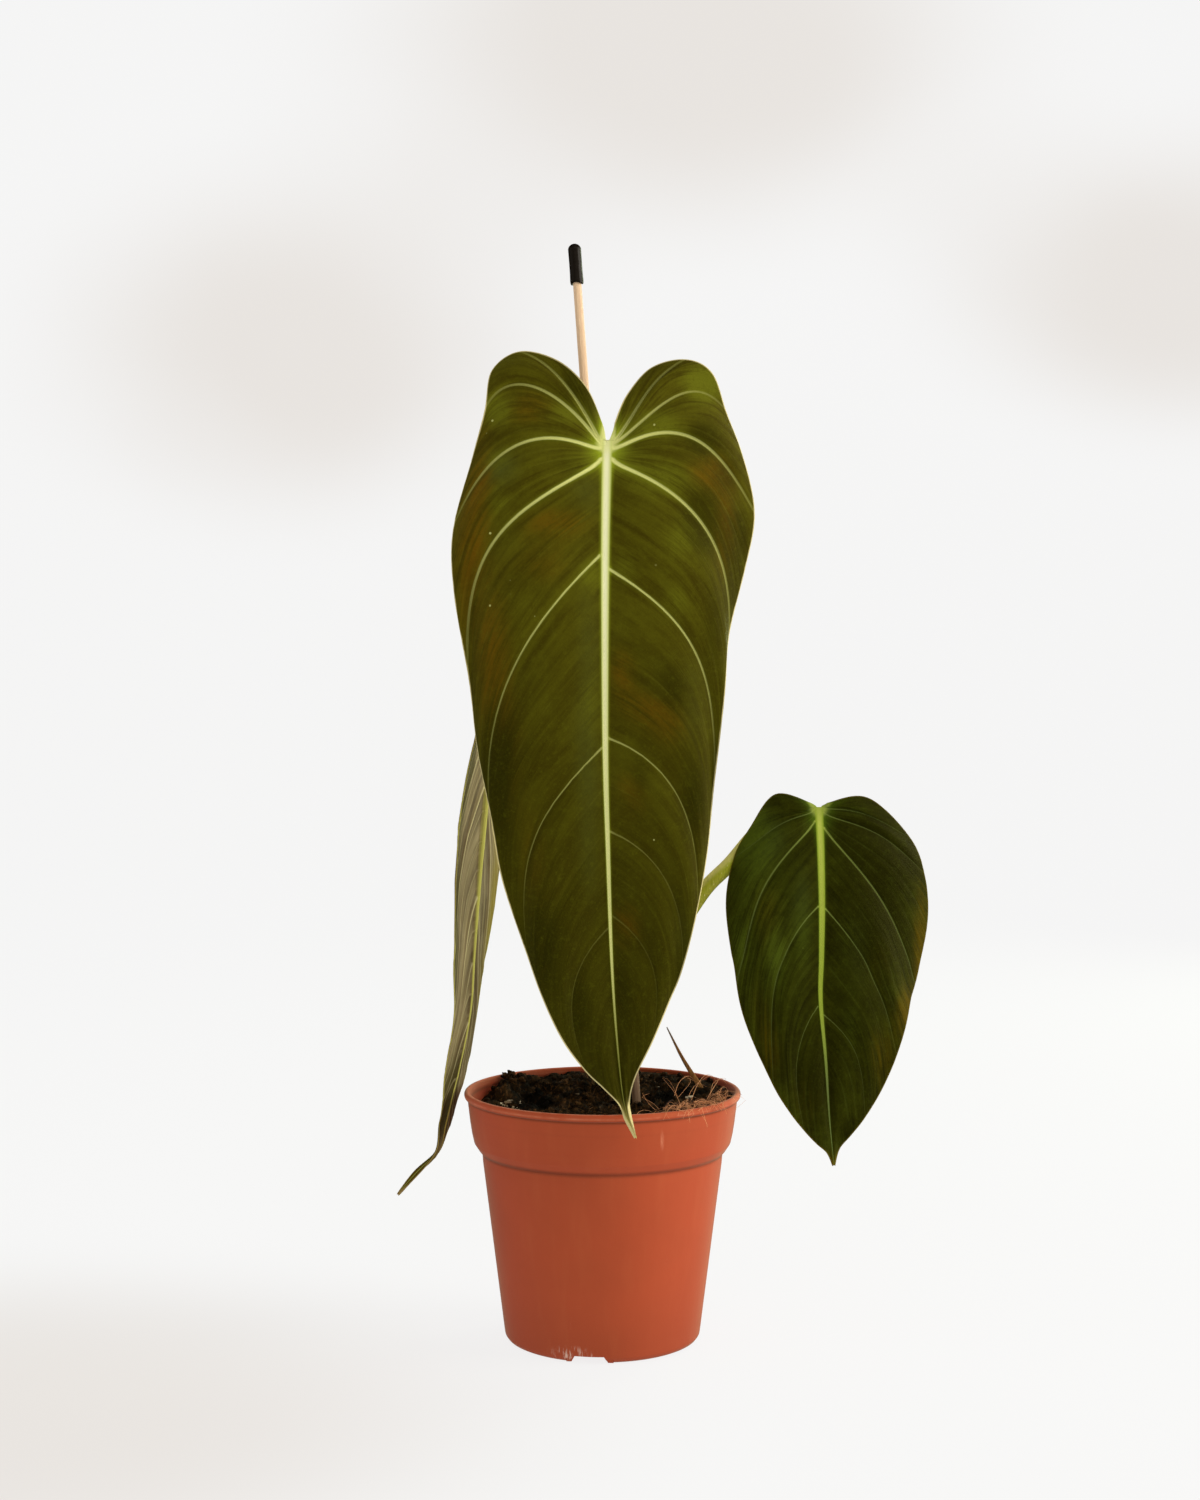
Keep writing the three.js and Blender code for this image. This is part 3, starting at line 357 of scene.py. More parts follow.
class SupportSettings(bpy.types.PropertyGroup):
    stake_radius: length_setting("Stake radius", "Radius of the split bamboo stake", 1.85)
    tip_radius: length_setting("Tip radius", "Radius of the dipped tip", 2.9)
    tie_radius: length_setting("Tie radius", "Radius of the garden tie", 0.9)
    bamboo: colour_setting("Bamboo", "Colour of the dry bamboo", 238, 206, 170)
    dip: colour_setting("Dip", "Colour of the dipped tip", 28, 22, 16)
    tie: colour_setting("Tie", "Colour of the garden tie", 60, 86, 48)


class StalkSettings(bpy.types.PropertyGroup):
    stem_radius: length_setting("Stem radius", "Radius of the climbing stem", 4.8)
    stalk_radius: length_setting("Stalk radius", "Radius of the leaf stalks", 2.6)
    skin: colour_setting("Skin", "Colour of the stalks", 162, 168, 26)
    bark: colour_setting("Bark", "Colour of the stem", 98, 100, 48)
    root: colour_setting("Root", "Colour of the aerial roots", 122, 94, 62)
    sheath: colour_setting("Sheath", "Colour of the green sheath", 150, 152, 84)
    dry: colour_setting("Dry sheath", "Colour of the dried sheath", 172, 120, 62)


class LeafSettings(bpy.types.PropertyGroup):
    thickness: length_setting("Thickness", "Thickness of the blades beside the midrib", 0.75)
    rib_height: length_setting("Rib height", "Height of the side veins under the blades", 1.1)
    velvet: share_setting("Velvet", "Strength of the sheen of the fine hairs", 0.08)
    large: colour_setting("Large blade", "Main green of the large blade", 84, 80, 12)
    right: colour_setting("Right blade", "Main green of the small right blade", 44, 46, 4)
    under: colour_setting("Underside", "Colour of the undersides", 130, 116, 80)
    vein: colour_setting("Veins", "Colour of the veins of the large blade", 228, 230, 142)
    lime: colour_setting("Lime midrib", "Colour of the midrib of the right blade", 184, 196, 84)
    bronze: colour_setting("Bronze", "Colour of the bronze patches", 106, 74, 8)


class StageSettings(bpy.types.PropertyGroup):
    key_power: power_setting("Key power", "Power of the soft light on the right", 27.0)
    fill_power: power_setting("Fill power", "Power of the soft light on the left", 2.0)
    front_power: power_setting("Front power", "Power of the soft light above the camera", 4.0)
    rim_power: power_setting("Rim power", "Power of the soft light behind on the right", 9.0)
    sky: share_setting("Surroundings", "Strength of the even light all round", 0.5)
    backdrop: colour_setting("Backdrop", "Colour of the floor and backdrop", 244, 244, 244)


SETTINGS = {
    "pot": PotSettings, "soil": SoilSettings, "support": SupportSettings, "stalk": StalkSettings,
    "leaf": LeafSettings, "stage": StageSettings,
}


def settings(group):
    return getattr(bpy.context.scene, "philodendron_" + group)


# Materials
class Wire:
    """A value in a material. Arithmetic on it adds Math nodes."""

    def __init__(self, finish, socket):
        self.finish = finish
        self.socket = socket

    def _maths(self, operation, first, second):
        return self.finish.node("Math", {"operation": operation}, {0: first, 1: second})

    def __add__(self, other):
        return self._maths("ADD", self, other)

    def __sub__(self, other):
        return self._maths("SUBTRACT", self, other)

    def __rsub__(self, other):
        return self._maths("SUBTRACT", other, self)

    def __mul__(self, other):
        return self._maths("MULTIPLY", self, other)

    def __pow__(self, other):
        return self._maths("POWER", self, other)

    __radd__ = __add__
    __rmul__ = __mul__

    def step(self, low, high):
        """0 at low, 1 at high, smooth between."""
        return self.finish.node("MapRange", {"interpolation_type": "SMOOTHSTEP"}, {
            "Value": self, "From Min": low, "From Max": high})

    def fall(self, low, high):
        """1 at low, 0 at high, smooth between."""
        return 1 - self.step(low, high)


class Finish:
    """One procedural material, built round its Principled shader, its colour coat by coat."""

    def __init__(self, name, colour, specular, others=None):
        self.material = bpy.data.materials.new(name)
        self.material.use_nodes = True
        self.tree = self.material.node_tree
        self.shader = self.tree.nodes["Principled BSDF"]
        self.colour = colour
        for socket, value in {"Specular IOR Level": specular, **(others or {})}.items():
            self.shader.inputs[socket].default_value = value

    def node(self, kind, options, values, out=0):
        """Adds a node with its settings, then the values or links of its sockets."""
        made = self.tree.nodes.new("ShaderNode" + kind)
        for option, value in options.items():
            setattr(made, option, value)
        for socket, value in values.items():
            if isinstance(value, Wire):
                self.tree.links.new(value.socket, made.inputs[socket])
            else:
                made.inputs[socket].default_value = value
        return Wire(self, made.outputs[out])

    def feed(self, socket, wire):
        self.tree.links.new(wire.socket, self.shader.inputs[socket])

    def place(self, scale=(1, 1, 1), turn=(0, 0, 0), shift=(0, 0, 0)):
        """The object's own coordinates, moved, turned and scaled."""
        here = self.node("TexCoord", {}, {}, "Object")
        return self.node("Mapping", {}, {
            "Vector": here, "Location": shift, "Rotation": turn, "Scale": scale})

    def along(self, scale):
        """The leaf's own map: across the fan of lines, and along each line."""
        lines = self.node("UVMap", {"uv_map": "lines"}, {}, "UV")
        return self.node("Mapping", {}, {"Vector": lines, "Scale": scale})

    def attribute(self, name):
        return self.node("Attribute", {"attribute_name": name}, {}, "Fac")

    def noise(self, scale, detail, roughness, where=None, distortion=0.0):
        return self.node("TexNoise", {}, {
            "Vector": where or self.place(), "Scale": scale, "Detail": detail, "Roughness": roughness,
            "Distortion": distortion})

    def cells(self, scale, where=None):
        """How far a place is from the middle of the nearest of many cells."""
        return self.node("TexVoronoi", {"feature": "F1"}, {
            "Vector": where or self.place(), "Scale": scale}, "Distance")

    def height(self, vector=None):
        """The upward part of a vector, or how high the place on the piece is, in metres."""
        return self.node("SeparateXYZ", {}, {"Vector": vector or self.place()}, "Z")

    def away(self, place):
        return self.node("VectorMath", {"operation": "LENGTH"}, {0: place}, "Value")

    def spot(self, centre, size):
        """1 at the centre, fading to 0 at the size, all in millimetres."""
        scale = [1 / (MM * s) for s in size]
        shift = [-c / s for c, s in zip(centre, size)]
        return self.away(self.place(scale, shift=shift)).fall(0.0, 1.0)

    def mix(self, factor, first, second):
        def whole(colour):
            return colour if isinstance(colour, Wire) else (*colour, 1.0)

        return self.node("Mix", {"data_type": "RGBA"}, {0: factor, 6: whole(first), 7: whole(second)}, 2)

    def coat(self, factor, tone):
        """Lays a tone over the colour so far."""
        self.colour = self.mix(factor, self.colour, tone)

    def bump(self, height, distance, strength=1.0):
        self.feed("Normal", self.node("Bump", {}, {
            "Height": height, "Distance": distance, "Strength": strength}))

    def done(self, roughness):
        self.feed("Base Color", self.colour)
        self.feed("Roughness", roughness)
        return self.material


def plastic_finish():
    """Moulded terracotta plastic: cloudy, with painted shade under the steps, on the inner wall and towards
    its foot, dusty on the lip with painted highlight lines along it, and a few scuffs.
    """
    look = settings("pot")
    finish = Finish("terracotta_plastic", look.plastic, 0.5, {
        "Specular Tint": (*srgb(252, 252, 190), 1.0), "Sheen Weight": 0.22, "Sheen Roughness": 0.35,
        "Sheen Tint": (0.9, 1.0, 0.72, 1.0)})
    cloud = finish.noise(22, 4, 0.55)
    grain = finish.noise(1400, 3, 0.6)
    flow = finish.noise(3, 3, 0.5, finish.place((60, 60, 6)))
    worn = finish.noise(160, 5, 0.65)
    scratch = finish.noise(1, 5, 0.7, finish.place((900, 300, 160), (0.0, 0.6, 0.2)))
    height = finish.height()
    lip = height.step(0.1046, 0.1066)
    # painted highlight: two thin light lines round the lip
    highlight_lines = finish.spot((0, 0, 106.4), (500, 500, 0.7)) + finish.spot((0, 0, 108.3), (500, 500, 0.6))
    # painted shade: the inner wall above the soil darker and redder
    inside = finish.away(finish.place((1, 1, 0))).fall(0.0576, 0.0580) * height.step(0.098, 0.1)
    # painted shade: dark lines in the crease under the band and under the lip
    crease_shade = finish.spot((0, 0, 81.9), (300, 300, 1.9)) + finish.spot((0, 0, 104.8), (500, 500, 1.2))
    scuffs = finish.spot((-13, -43, 3.5), (14, 14, 5)) * scratch.step(0.5, 0.62)
    scrape = finish.spot((24.6, -50, 96.5), (1.1, 14, 6)) * scratch.step(0.3, 0.7)
    rub = finish.noise(14, 6, 0.7, finish.place((30, 30, 8))).step(0.66, 0.74)
    finish.coat(cloud.step(0.3, 0.75) * 0.35, srgb(158, 58, 31))
    finish.coat(flow.step(0.45, 0.8) * 0.22, srgb(190, 88, 50))
    # painted shade: the wall darker towards its foot, near the floor
    finish.coat(height.fall(0.0, 0.03) * 0.25, srgb(128, 44, 24))
    # a little dust on the lip, and the painted highlight lines, both in the dust colour
    finish.coat(lip * (0.06 + 0.5 * highlight_lines) * worn.step(0.3, 0.7), look.dust)
    # painted shade on the inner wall
    finish.coat(inside * 0.55, srgb(132, 44, 26))
    # painted shade in the creases under the band and under the lip
    finish.coat(crease_shade * 0.62 * (0.6 + 0.6 * cloud), srgb(84, 28, 14))
    finish.coat(scuffs * 0.8, srgb(232, 202, 184))
    finish.coat(scrape * 0.6, srgb(240, 160, 124))
    finish.coat(rub * (1 - inside) * 0.1, look.dust)
    finish.bump(grain * 0.4 + flow * 0.6 - scuffs * 0.6, 0.00012, 0.7)
    return finish.done(0.46 + 0.12 * cloud + 0.12 * lip + 0.2 * scuffs)


def peat_finish(name="peat_soil", lighter=0.0):
    look = settings("soil")
    finish = Finish(name, look.peat, 0.12)
    lump = finish.noise(260, 6, 0.65)
    fine = finish.noise(1800, 4, 0.7)
    heap = finish.noise(85, 3, 0.5)
    streak = finish.noise(1, 4, 0.6, finish.place((900, 240, 700), (0.4, 0.2, 0.9)))
    # painted shade in the hollow at the back left of the soil, and a painted shadow on the soil at the
    # right
    hollow = finish.spot((-31, 16, 103), (17, 26, 30)) * 0.8
    shadow = finish.spot((28, 6, 103), (26, 28, 30)) * 0.5
    finish.coat(lump.step(0.42, 0.68) * 0.8, srgb(58, 40, 12))
    finish.coat(streak.step(0.52, 0.66) * 0.75, look.dry_peat)
    finish.coat(fine.step(0.62, 0.74) * 0.6, srgb(132, 104, 58))
    finish.coat(finish.attribute("shade").step(0.45, 1.0) * (0.4 + lighter), look.dry_peat)
    # darker peat in patches, with the painted shade and the painted shadow
    finish.coat(heap.step(0.44, 0.6) * 0.7 + hollow + shadow, srgb(12, 8, 3))
    finish.bump(lump * 0.8 + fine * 0.4 + streak * 0.3, 0.0009)
    return finish.done(0.95 - 0.3 * lump.step(0.5, 0.3))


def chip_finish():
    finish = Finish("pale_chip", settings("soil").chip, 0.3)
    grain = finish.noise(1, 5, 0.65, finish.place((400, 1600, 500), (0.3, 0.5, 0.1)))
    dirt = finish.noise(420, 4, 0.6)
    finish.coat(grain.step(0.35, 0.7), srgb(128, 106, 74))
    finish.coat(dirt.step(0.52, 0.68) * 0.8, srgb(58, 42, 28))
    finish.bump(grain, 0.0003)
    return finish.done(0.75 + 0.2 * dirt)


def coir_finish():
    finish = Finish("coir_fibre", srgb(66, 36, 18), 0.4)
    patch = finish.noise(300, 4, 0.6)
    fine = finish.noise(4200, 3, 0.6)
    finish.coat(finish.attribute("shade").step(0.35, 0.75), settings("soil").coir)
    finish.coat(patch.step(0.55, 0.75) * 0.7, srgb(206, 164, 118))
    finish.coat(fine.step(0.5, 0.7) * 0.4, srgb(80, 52, 30))
    finish.bump(fine, 0.0001)
    return finish.done(0.7 + 0.2 * patch)


def bamboo_finish():
    """Dry bamboo, its grain along the leaning stake, with painted shade on its lower part where it stands
    near the soil.
    """
    finish = Finish("bamboo", settings("support").bamboo, 0.25)
    run = STAKE_TOP - STAKE_FOOT
    lean = (math.atan2(-run.y, run.z), math.atan2(run.x, run.z), 0.0)
    grain = finish.noise(1, 5, 0.65, finish.place((3200, 3200, 60), lean))
    patch = finish.noise(1, 4, 0.6, finish.place((120, 120, 26), lean))
    finish.coat(grain.step(0.3, 0.75) * 0.6, srgb(208, 164, 120))
    finish.coat(patch.step(0.52, 0.75) * 0.5, srgb(238, 210, 170))
    # painted shade: the stake darker low down, near the soil
    finish.coat(finish.height().fall(0.12, 0.15) * 0.85, srgb(92, 66, 44))
    finish.bump(grain, 0.00025)
    return finish.done(0.42 + 0.22 * grain)


def dip_finish():
    finish = Finish("black_dip", settings("support").dip, 0.16)
    dust = finish.noise(2600, 4, 0.7)
    finish.coat(dust.step(0.66, 0.8) * 0.35, srgb(62, 58, 54))
    finish.bump(finish.noise(420, 2, 0.4), 0.0004, 0.5)
    return finish.done(0.2 + 0.25 * dust)


def skin_finish(name, main, warm, dark, fleck, above=None):
    """Living skin of stalks, stem and sheath: fine lengthwise lines, soft patches and flecks.

    above is a painted highlight: the paler colour of the side that faces up.
    """
    finish = Finish(name, main, 0.2)
    patch = finish.noise(46, 4, 0.6)
    lines = finish.noise(1, 4, 0.6, finish.place((1500, 1500, 110)))
    flecks = finish.cells(760, finish.place((1, 1, 0.4)))
    finish.coat(patch.step(0.38, 0.72), warm)
    finish.coat(lines.step(0.45, 0.72) * 0.5, dark)
    if above:
        # painted highlight: the side that faces up paler
        facing = finish.height(finish.node("NewGeometry", {}, {}, "Normal"))
        finish.coat(facing.step(0.1, 0.75) * (0.6 + 0.4 * patch), above)
    finish.coat(flecks.fall(0.1, 0.24) * 0.55, fleck)
    finish.bump(lines * 0.7 - flecks.step(0.1, 0.3) * 0.3, 0.00022)
    return finish.done(0.4 + 0.2 * patch)


def dry_finish():
    """Dry papery skin, grey at its tip."""
    finish = Finish("dry_sheath", settings("stalk").dry, 0.3)
    fibre = finish.noise(1, 5, 0.65, finish.place((1500, 1500, 120), (0.0, 0.5, 0.0)))
    finish.coat(fibre.step(0.35, 0.7), srgb(112, 74, 36))
    finish.coat(finish.height().step(0.122, 0.132) * 0.8, srgb(120, 112, 96))
    finish.bump(fibre, 0.0004)
    return finish.done(0.8 + 0.12 * fibre)


def tie_finish():
    finish = Finish("garden_tie", settings("support").tie, 0.5)
    worn = finish.noise(900, 4, 0.6)
    finish.coat(worn.step(0.55, 0.75) * 0.4, srgb(96, 120, 84))
    finish.bump(finish.noise(1, 3, 0.5, finish.place((40, 40, 2400))), 0.0003)
    return finish.done(0.4 + 0.2 * worn)


def blade_finish(name, tones):
    """The upper side of a blade: streaked velvet with soft patches, some of them painted sheen and painted
    shade, pale veins and a thin pale margin.
    """
    finish = Finish(name, tones["deep"], 0.1, {
        "Specular Tint": (*srgb(230, 230, 90), 1.0), "Sheen Weight": settings("leaf").velvet,
        "Sheen Roughness": 0.4, "Sheen Tint": (*srgb(140, 140, 20), 1.0)})
    cloud = finish.noise(55, 4, 0.6)
    nap = finish.noise(1100, 4, 0.7)
    mottle = finish.noise(360, 5, 0.7)
    streak = finish.noise(1, 5, 0.62, finish.along((3.4, 1.6, 1.0)), 0.7)
    hair = finish.noise(1, 3, 0.6, finish.along((34.0, 4.0, 1.0)))
    height = finish.height()
    # painted shade: the blade darker towards its lower part, below the height low
    low = height.fall(tones["low"], tones["low"] + 0.27)
    tip = height.fall(tones["tip"], tones["tip"] + 0.016)
    # painted sheen: soft grey-green patches of the velvet's sheen
    sage_sheen = finish.attribute("sage_sheen") * (0.4 + 0.8 * cloud)
    patchy = 0.35 + 0.7 * streak.step(0.34, 0.7) + 0.25 * hair.step(0.4, 0.7)
    bronze = finish.attribute("bronze") * patchy
    lively = 0.35 + 0.5 * hair.step(0.35, 0.65) + 0.5 * streak.step(0.36, 0.62)
    green = finish.attribute("green") * lively
    finish.coat(streak.step(0.32, 0.68), tones["main"])
    finish.coat(cloud.step(0.45, 0.75) * 0.45, tones["fresh"])
    finish.coat(sage_sheen.step(0.0, 0.9), tones["sage_sheen"])
    finish.coat(bronze.step(0.05, 1.1), tones["bronze"])
    # darker patches, partly the leaf's own tone and partly painted shade where the blade folds, and the
    # painted shade of its lower part
    finish.coat(finish.attribute("dark_and_shade").step(0.0, 1.0) * 0.65 + low * 0.82, tones["dark_and_shade"])
    finish.coat(green.step(0.0, 1.1), tones["green"])
    finish.coat(hair.step(0.5, 0.8) * 0.16, tones["fresh"])
    finish.coat(nap.step(0.5, 0.75) * 0.25, tones["fresh"])
    finish.coat((0.98 - nap).step(0.5, 0.75) * 0.32, tones["deep"])
    finish.coat(mottle.step(0.5, 0.8) * 0.24, tones["green"])
    finish.coat(mottle.step(0.5, 0.28) * 0.35, tones["deep"])

    rib = finish.attribute("rib")
    vein = finish.attribute("vein")
    life = finish.attribute("life")
    heart = finish.attribute("heart")
    core = heart.step(0.52, 0.9)
    minor = finish.attribute("minor").fall(0.2, 1.6) * cloud.step(0.35, 0.7)
    rays = heart * (0.35 + 0.75 * hair.step(0.35, 0.62))
    glow = vein.fall(0.4, 3.4) * life * 0.4 + rib.fall(0.7, 1.9) * 0.5 + rays * 1.2
    finish.coat(minor * (1 - 0.7 * low) * tones["minor"], tones["fine"])
    finish.coat(glow.step(0.0, 1.0), tones["glow"])
    finish.coat(core * 0.75, tones["vein"])
    crisp = vein.fall(0.4, 1.25) * (1 - (1 - life) ** 2)
    finish.coat(crisp, finish.mix(life, tones["far"], tones["vein"]))
    fading, fallen = [height.fall(*heights) for heights in tones["midrib_fades"]]
    ridge = finish.mix(fading, tones["midrib"], tones["midrib_low"])
    ridge = finish.mix(rib.step(0.2, 0.95) * (1 - 0.7 * fading), ridge, tones["midrib_side"])
    ridge = finish.mix(fallen * 0.85, ridge, tones["far"])
    ridge = finish.mix(core * 0.55, ridge, tones["vein"])
    finish.coat(rib.fall(0.7, 1.15), ridge)

    rim = finish.attribute("margin").fall(0.25, 0.65 + 0.7 * tip) * (1 - core)
    specks = finish.cells(95).fall(0.03, 0.06) * finish.noise(30, 2, 0.5).step(0.6, 0.64)
    finish.coat(tip * 0.85, tones["tip_tone"])
    finish.coat(rim * tones["edge"], tones["margin"])
    finish.coat(specks * 0.5, tones["vein"])
    finish.bump(nap * 0.3 + hair * 0.3 + streak * 0.5 - minor * 0.2, 0.0004, 0.8)
    return finish.done(tones["rough"] + 0.12 * cloud)


def under_finish(name, tones):
    """The underside of a blade: matte, paler, with raised veins."""
    finish = Finish(name, tones["shade"], 0.08)
    cloud = finish.noise(60, 4, 0.6)
    streak = finish.noise(1, 4, 0.6, finish.along((3.0, 0.8, 1.0)), 0.4)
    hair = finish.noise(1, 3, 0.6, finish.along((50.0, 5.0, 1.0)))
    minor = finish.attribute("minor").fall(0.2, 1.8)
    crisp = finish.attribute("vein").fall(0.5, 1.5) * finish.attribute("life")
    finish.coat(streak.step(0.36, 0.6), tones["main"])
    finish.coat(streak.step(0.54, 0.72) * 0.5, tones["pale"])
    finish.coat(cloud.step(0.45, 0.75) * 0.25, tones["pale"])
    finish.coat(finish.attribute("bronze").step(0.05, 1.0), tones["olive"])
    # darker patches, partly the leaf's own tone and partly painted shade
    finish.coat(finish.attribute("dark_and_shade").step(0.05, 1.0) * 0.85, tones["dark_and_shade"])
    finish.coat(hair.step(0.5, 0.75) * 0.3, tones["shade"])
    finish.coat(minor * 0.35, tones["vein"])
    finish.coat(crisp * 0.9, tones["vein"])
    finish.coat(finish.attribute("rib").fall(0.8, 1.3), tones["midrib"])
    finish.coat(finish.attribute("margin").fall(0.25, 0.8) * 0.7, tones["midrib"])
    finish.bump(hair * 0.4 + streak * 0.5 + minor * 0.5, 0.0005, 0.8)
    return finish.done(0.62 + 0.14 * cloud)


def backdrop_finish():
    """Matte paper, bright of itself, with faint soft shadows."""
    finish = Finish("backdrop", settings("stage").backdrop, 0.0, {
        "Roughness": 1.0, "Emission Strength": 0.935})
    shade = finish.spot((-480, 2600, 800), (600, 9000, 420))
    shade += finish.spot((100, 2600, 1250), (800, 9000, 450))
    shade += finish.spot((900, 2600, 900), (600, 9000, 360))
    shade += finish.spot((-260, -110, 0), (360, 330, 300))
    finish.coat((shade * (0.5 + finish.noise(1.6, 2, 0.45))).step(0.0, 1.0), srgb(231, 227, 223))
    finish.feed("Emission Color", finish.colour)
    finish.coat(0.9, (0.0, 0.0, 0.0))
    finish.feed("Base Color", finish.colour)
    return finish.material


# Making meshes
def clear_selection():
    if bpy.context.object and bpy.context.object.mode != "OBJECT":
        bpy.ops.object.mode_set(mode="OBJECT")
    bpy.ops.object.select_all(action="DESELECT")


def begin(primitive, name, **place):
    """Adds a primitive, alone in the selection, and opens it in edit mode."""
    clear_selection()
    getattr(bpy.ops.mesh, f"primitive_{primitive}_add")(**place)
    made = bpy.context.object
    made.name = name
    made.data.name = name
    bpy.context.tool_settings.mesh_select_mode = (True, False, False)
    bpy.ops.object.mode_set(mode="EDIT")
    return made


def end(piece):
    """Leaves edit mode and puts the piece's place into its mesh."""
    bpy.ops.object.mode_set(mode="OBJECT")
    bpy.ops.object.transform_apply(location=True, rotation=True, scale=True)
    return piece


def select_alone(*pieces):
    clear_selection()
    for piece in pieces:
        piece.select_set(True)
    bpy.context.view_layer.objects.active = pieces[0]


def modify(piece, kind, **options):
    """Adds a modifier and applies it."""
    select_alone(piece)
    modifier = piece.modifiers.new(kind.title(), kind)
    for option, value in options.items():
        setattr(modifier, option, value)
    bpy.ops.object.modifier_apply(modifier=modifier.name)


def joined(pieces):
    select_alone(*pieces)
    bpy.ops.object.join()
    return pieces[0]


def carve(piece, tool, operation):
    modify(piece, "BOOLEAN", operation=operation, object=tool, solver="EXACT")
    bpy.data.objects.remove(tool, do_unlink=True)


def smooth(piece, degrees=40):
    select_alone(piece)
    bpy.ops.object.shade_smooth_by_angle(angle=math.radians(degrees))


def new_object(name, data):
    """An object in the scene that holds this mesh, lamp or lens."""
    made = bpy.data.objects.new(name, data)
    bpy.context.scene.collection.objects.link(made)
    return made


def mesh_piece(name, points, faces):
    """A free-form piece from points in millimetres."""
    mesh = bpy.data.meshes.new(name)
    mesh.from_pydata([tuple(c * MM for c in point) for point in points], [], faces)
    mesh.validate()
    mesh.update()
    return new_object(name, mesh)


def measure(piece, name, values):
    """Gives each point of the piece a value that its finish reads."""
    piece.data.attributes.new(name, "FLOAT", "POINT").data.foreach_set("value", values)


def attach(piece, material, slot, *nodes):
    """Gives the piece its finish, hangs it on the root body and hides the CAD parts that it replaces."""
    if not piece.data.materials:
        piece.data.materials.append(material)
    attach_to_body(piece, "root")
    if nodes:
        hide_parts(*nodes)
    if len(piece.data.polygons) == 0:
        raise RuntimeError(f"{piece.name} has no faces")
    return piece


def rounded(profile, reach=0.5, steps=3):
    """The profile with each corner replaced by a short curve."""
    points = [Vector(p) for p in profile]
    result = [points[0]]
    for before, corner, after in zip(points, points[1:], points[2:]):
        back = before - corner
        ahead = after - corner
        start = corner + back.normalized() * min(reach, back.length * 0.45)
        finish = corner + ahead.normalized() * min(reach, ahead.length * 0.45)
        for k in range(steps + 1):
            t = k / steps
            result.append(start * (1 - t) ** 2 + corner * 2 * t * (1 - t) + finish * t * t)
    result.append(points[-1])
    return result


def turned(name, profile, steps):
    """A closed piece turned about Z: one point drawn out along the profile and spun round."""
    piece = begin("plane", name, size=MM, location=(profile[0][0] * MM, 0, profile[0][1] * MM))
    bpy.ops.mesh.merge(type="CENTER")
    for here, there in zip(profile, profile[1:]):
        move = ((there[0] - here[0]) * MM, 0, (there[1] - here[1]) * MM)
        bpy.ops.mesh.extrude_region_move(TRANSFORM_OT_translate={"value": move})
    bpy.ops.mesh.select_all(action="SELECT")
    bpy.ops.mesh.spin(steps=steps, angle=math.tau, center=(0, 0, 0), axis=(0, 0, 1))
    bpy.ops.mesh.select_all(action="SELECT")
    bpy.ops.mesh.remove_doubles(threshold=0.004 * MM)
    bpy.ops.mesh.normals_make_consistent(inside=False)
    return end(piece)


def through(a, b, c, d, t):
    """From b at 0 to c at 1, with a and d as the neighbours that steer the curve."""
    bend = 2 * a - 5 * b + 4 * c - d
    twist = 3 * b - a - 3 * c + d
    return 0.5 * (2 * b + (c - a) * t + bend * t * t + twist * t ** 3)


class Course:
    """A smooth curve through points, read by the share of its length."""

    def __init__(self, points, steps=500):
        knots = [Vector(p) for p in points]
        self.knots = [2 * knots[0] - knots[1], *knots, 2 * knots[-1] - knots[-2]]
        self.spans = len(points) - 1
        self.steps = steps
        samples = [self.point(k / steps) for k in range(steps + 1)]
        self.marks = [0.0]
        for a, b in zip(samples, samples[1:]):
            self.marks.append(self.marks[-1] + (b - a).length)
        self.length = self.marks[-1]

    def point(self, t):
        place = min(max(t, 0.0), 1.0) * self.spans
        i = min(int(place), self.spans - 1)
        w = place - i
        a, b, c, d = self.knots[i:i + 4]
        return through(a, b, c, d, w)

    def share(self, distance):
        """The curve's own parameter at a distance along it."""
        k = min(max(bisect_right(self.marks, distance) - 1, 0), self.steps - 1)
        span = self.marks[k + 1] - self.marks[k]
        return (k + (distance - self.marks[k]) / span) / self.steps

    def at(self, distance):
        """The point and direction at a distance along the curve."""
        t = self.share(distance)
        return self.point(t), (self.point(t + 1e-3) - self.point(t - 1e-3)).normalized()


def tube(course, radius, sides, steps):
    """Rings of points along a course, and the faces between them.

    radius takes the share of the length and the angle round it.
    """
    points = []
    normal = None
    for k in range(steps + 1):
        centre, along = course.at(course.length * k / steps)
        normal = along.orthogonal() if normal is None else normal
        normal = (normal - along * normal.dot(along)).normalized()
        across = along.cross(normal)
        for s in range(sides):
            angle = math.tau * s / sides
            out = normal * math.cos(angle) + across * math.sin(angle)
            points.append(centre + out * radius(k / steps, angle))
    faces = []
    for k in range(steps):
        for s in range(sides):
            a = k * sides + s
            b = k * sides + (s + 1) % sides
            faces.append((a, b, b + sides, a + sides))
    return points, faces


def sweep(name, points, radius, sides, steps):
    """A closed round body along a curve."""
    course = Course(points)
    places, faces = tube(course, radius, sides, steps)
    first = len(places)
    last_ring = steps * sides
    places += [course.point(0.0), course.point(1.0)]
    for s in range(sides):
        ahead = (s + 1) % sides
        faces.append((first, ahead, s))
        faces.append((first + 1, last_ring + s, last_ring + ahead))
    piece = mesh_piece(name, places, faces)
    smooth(piece, 60)
    return piece


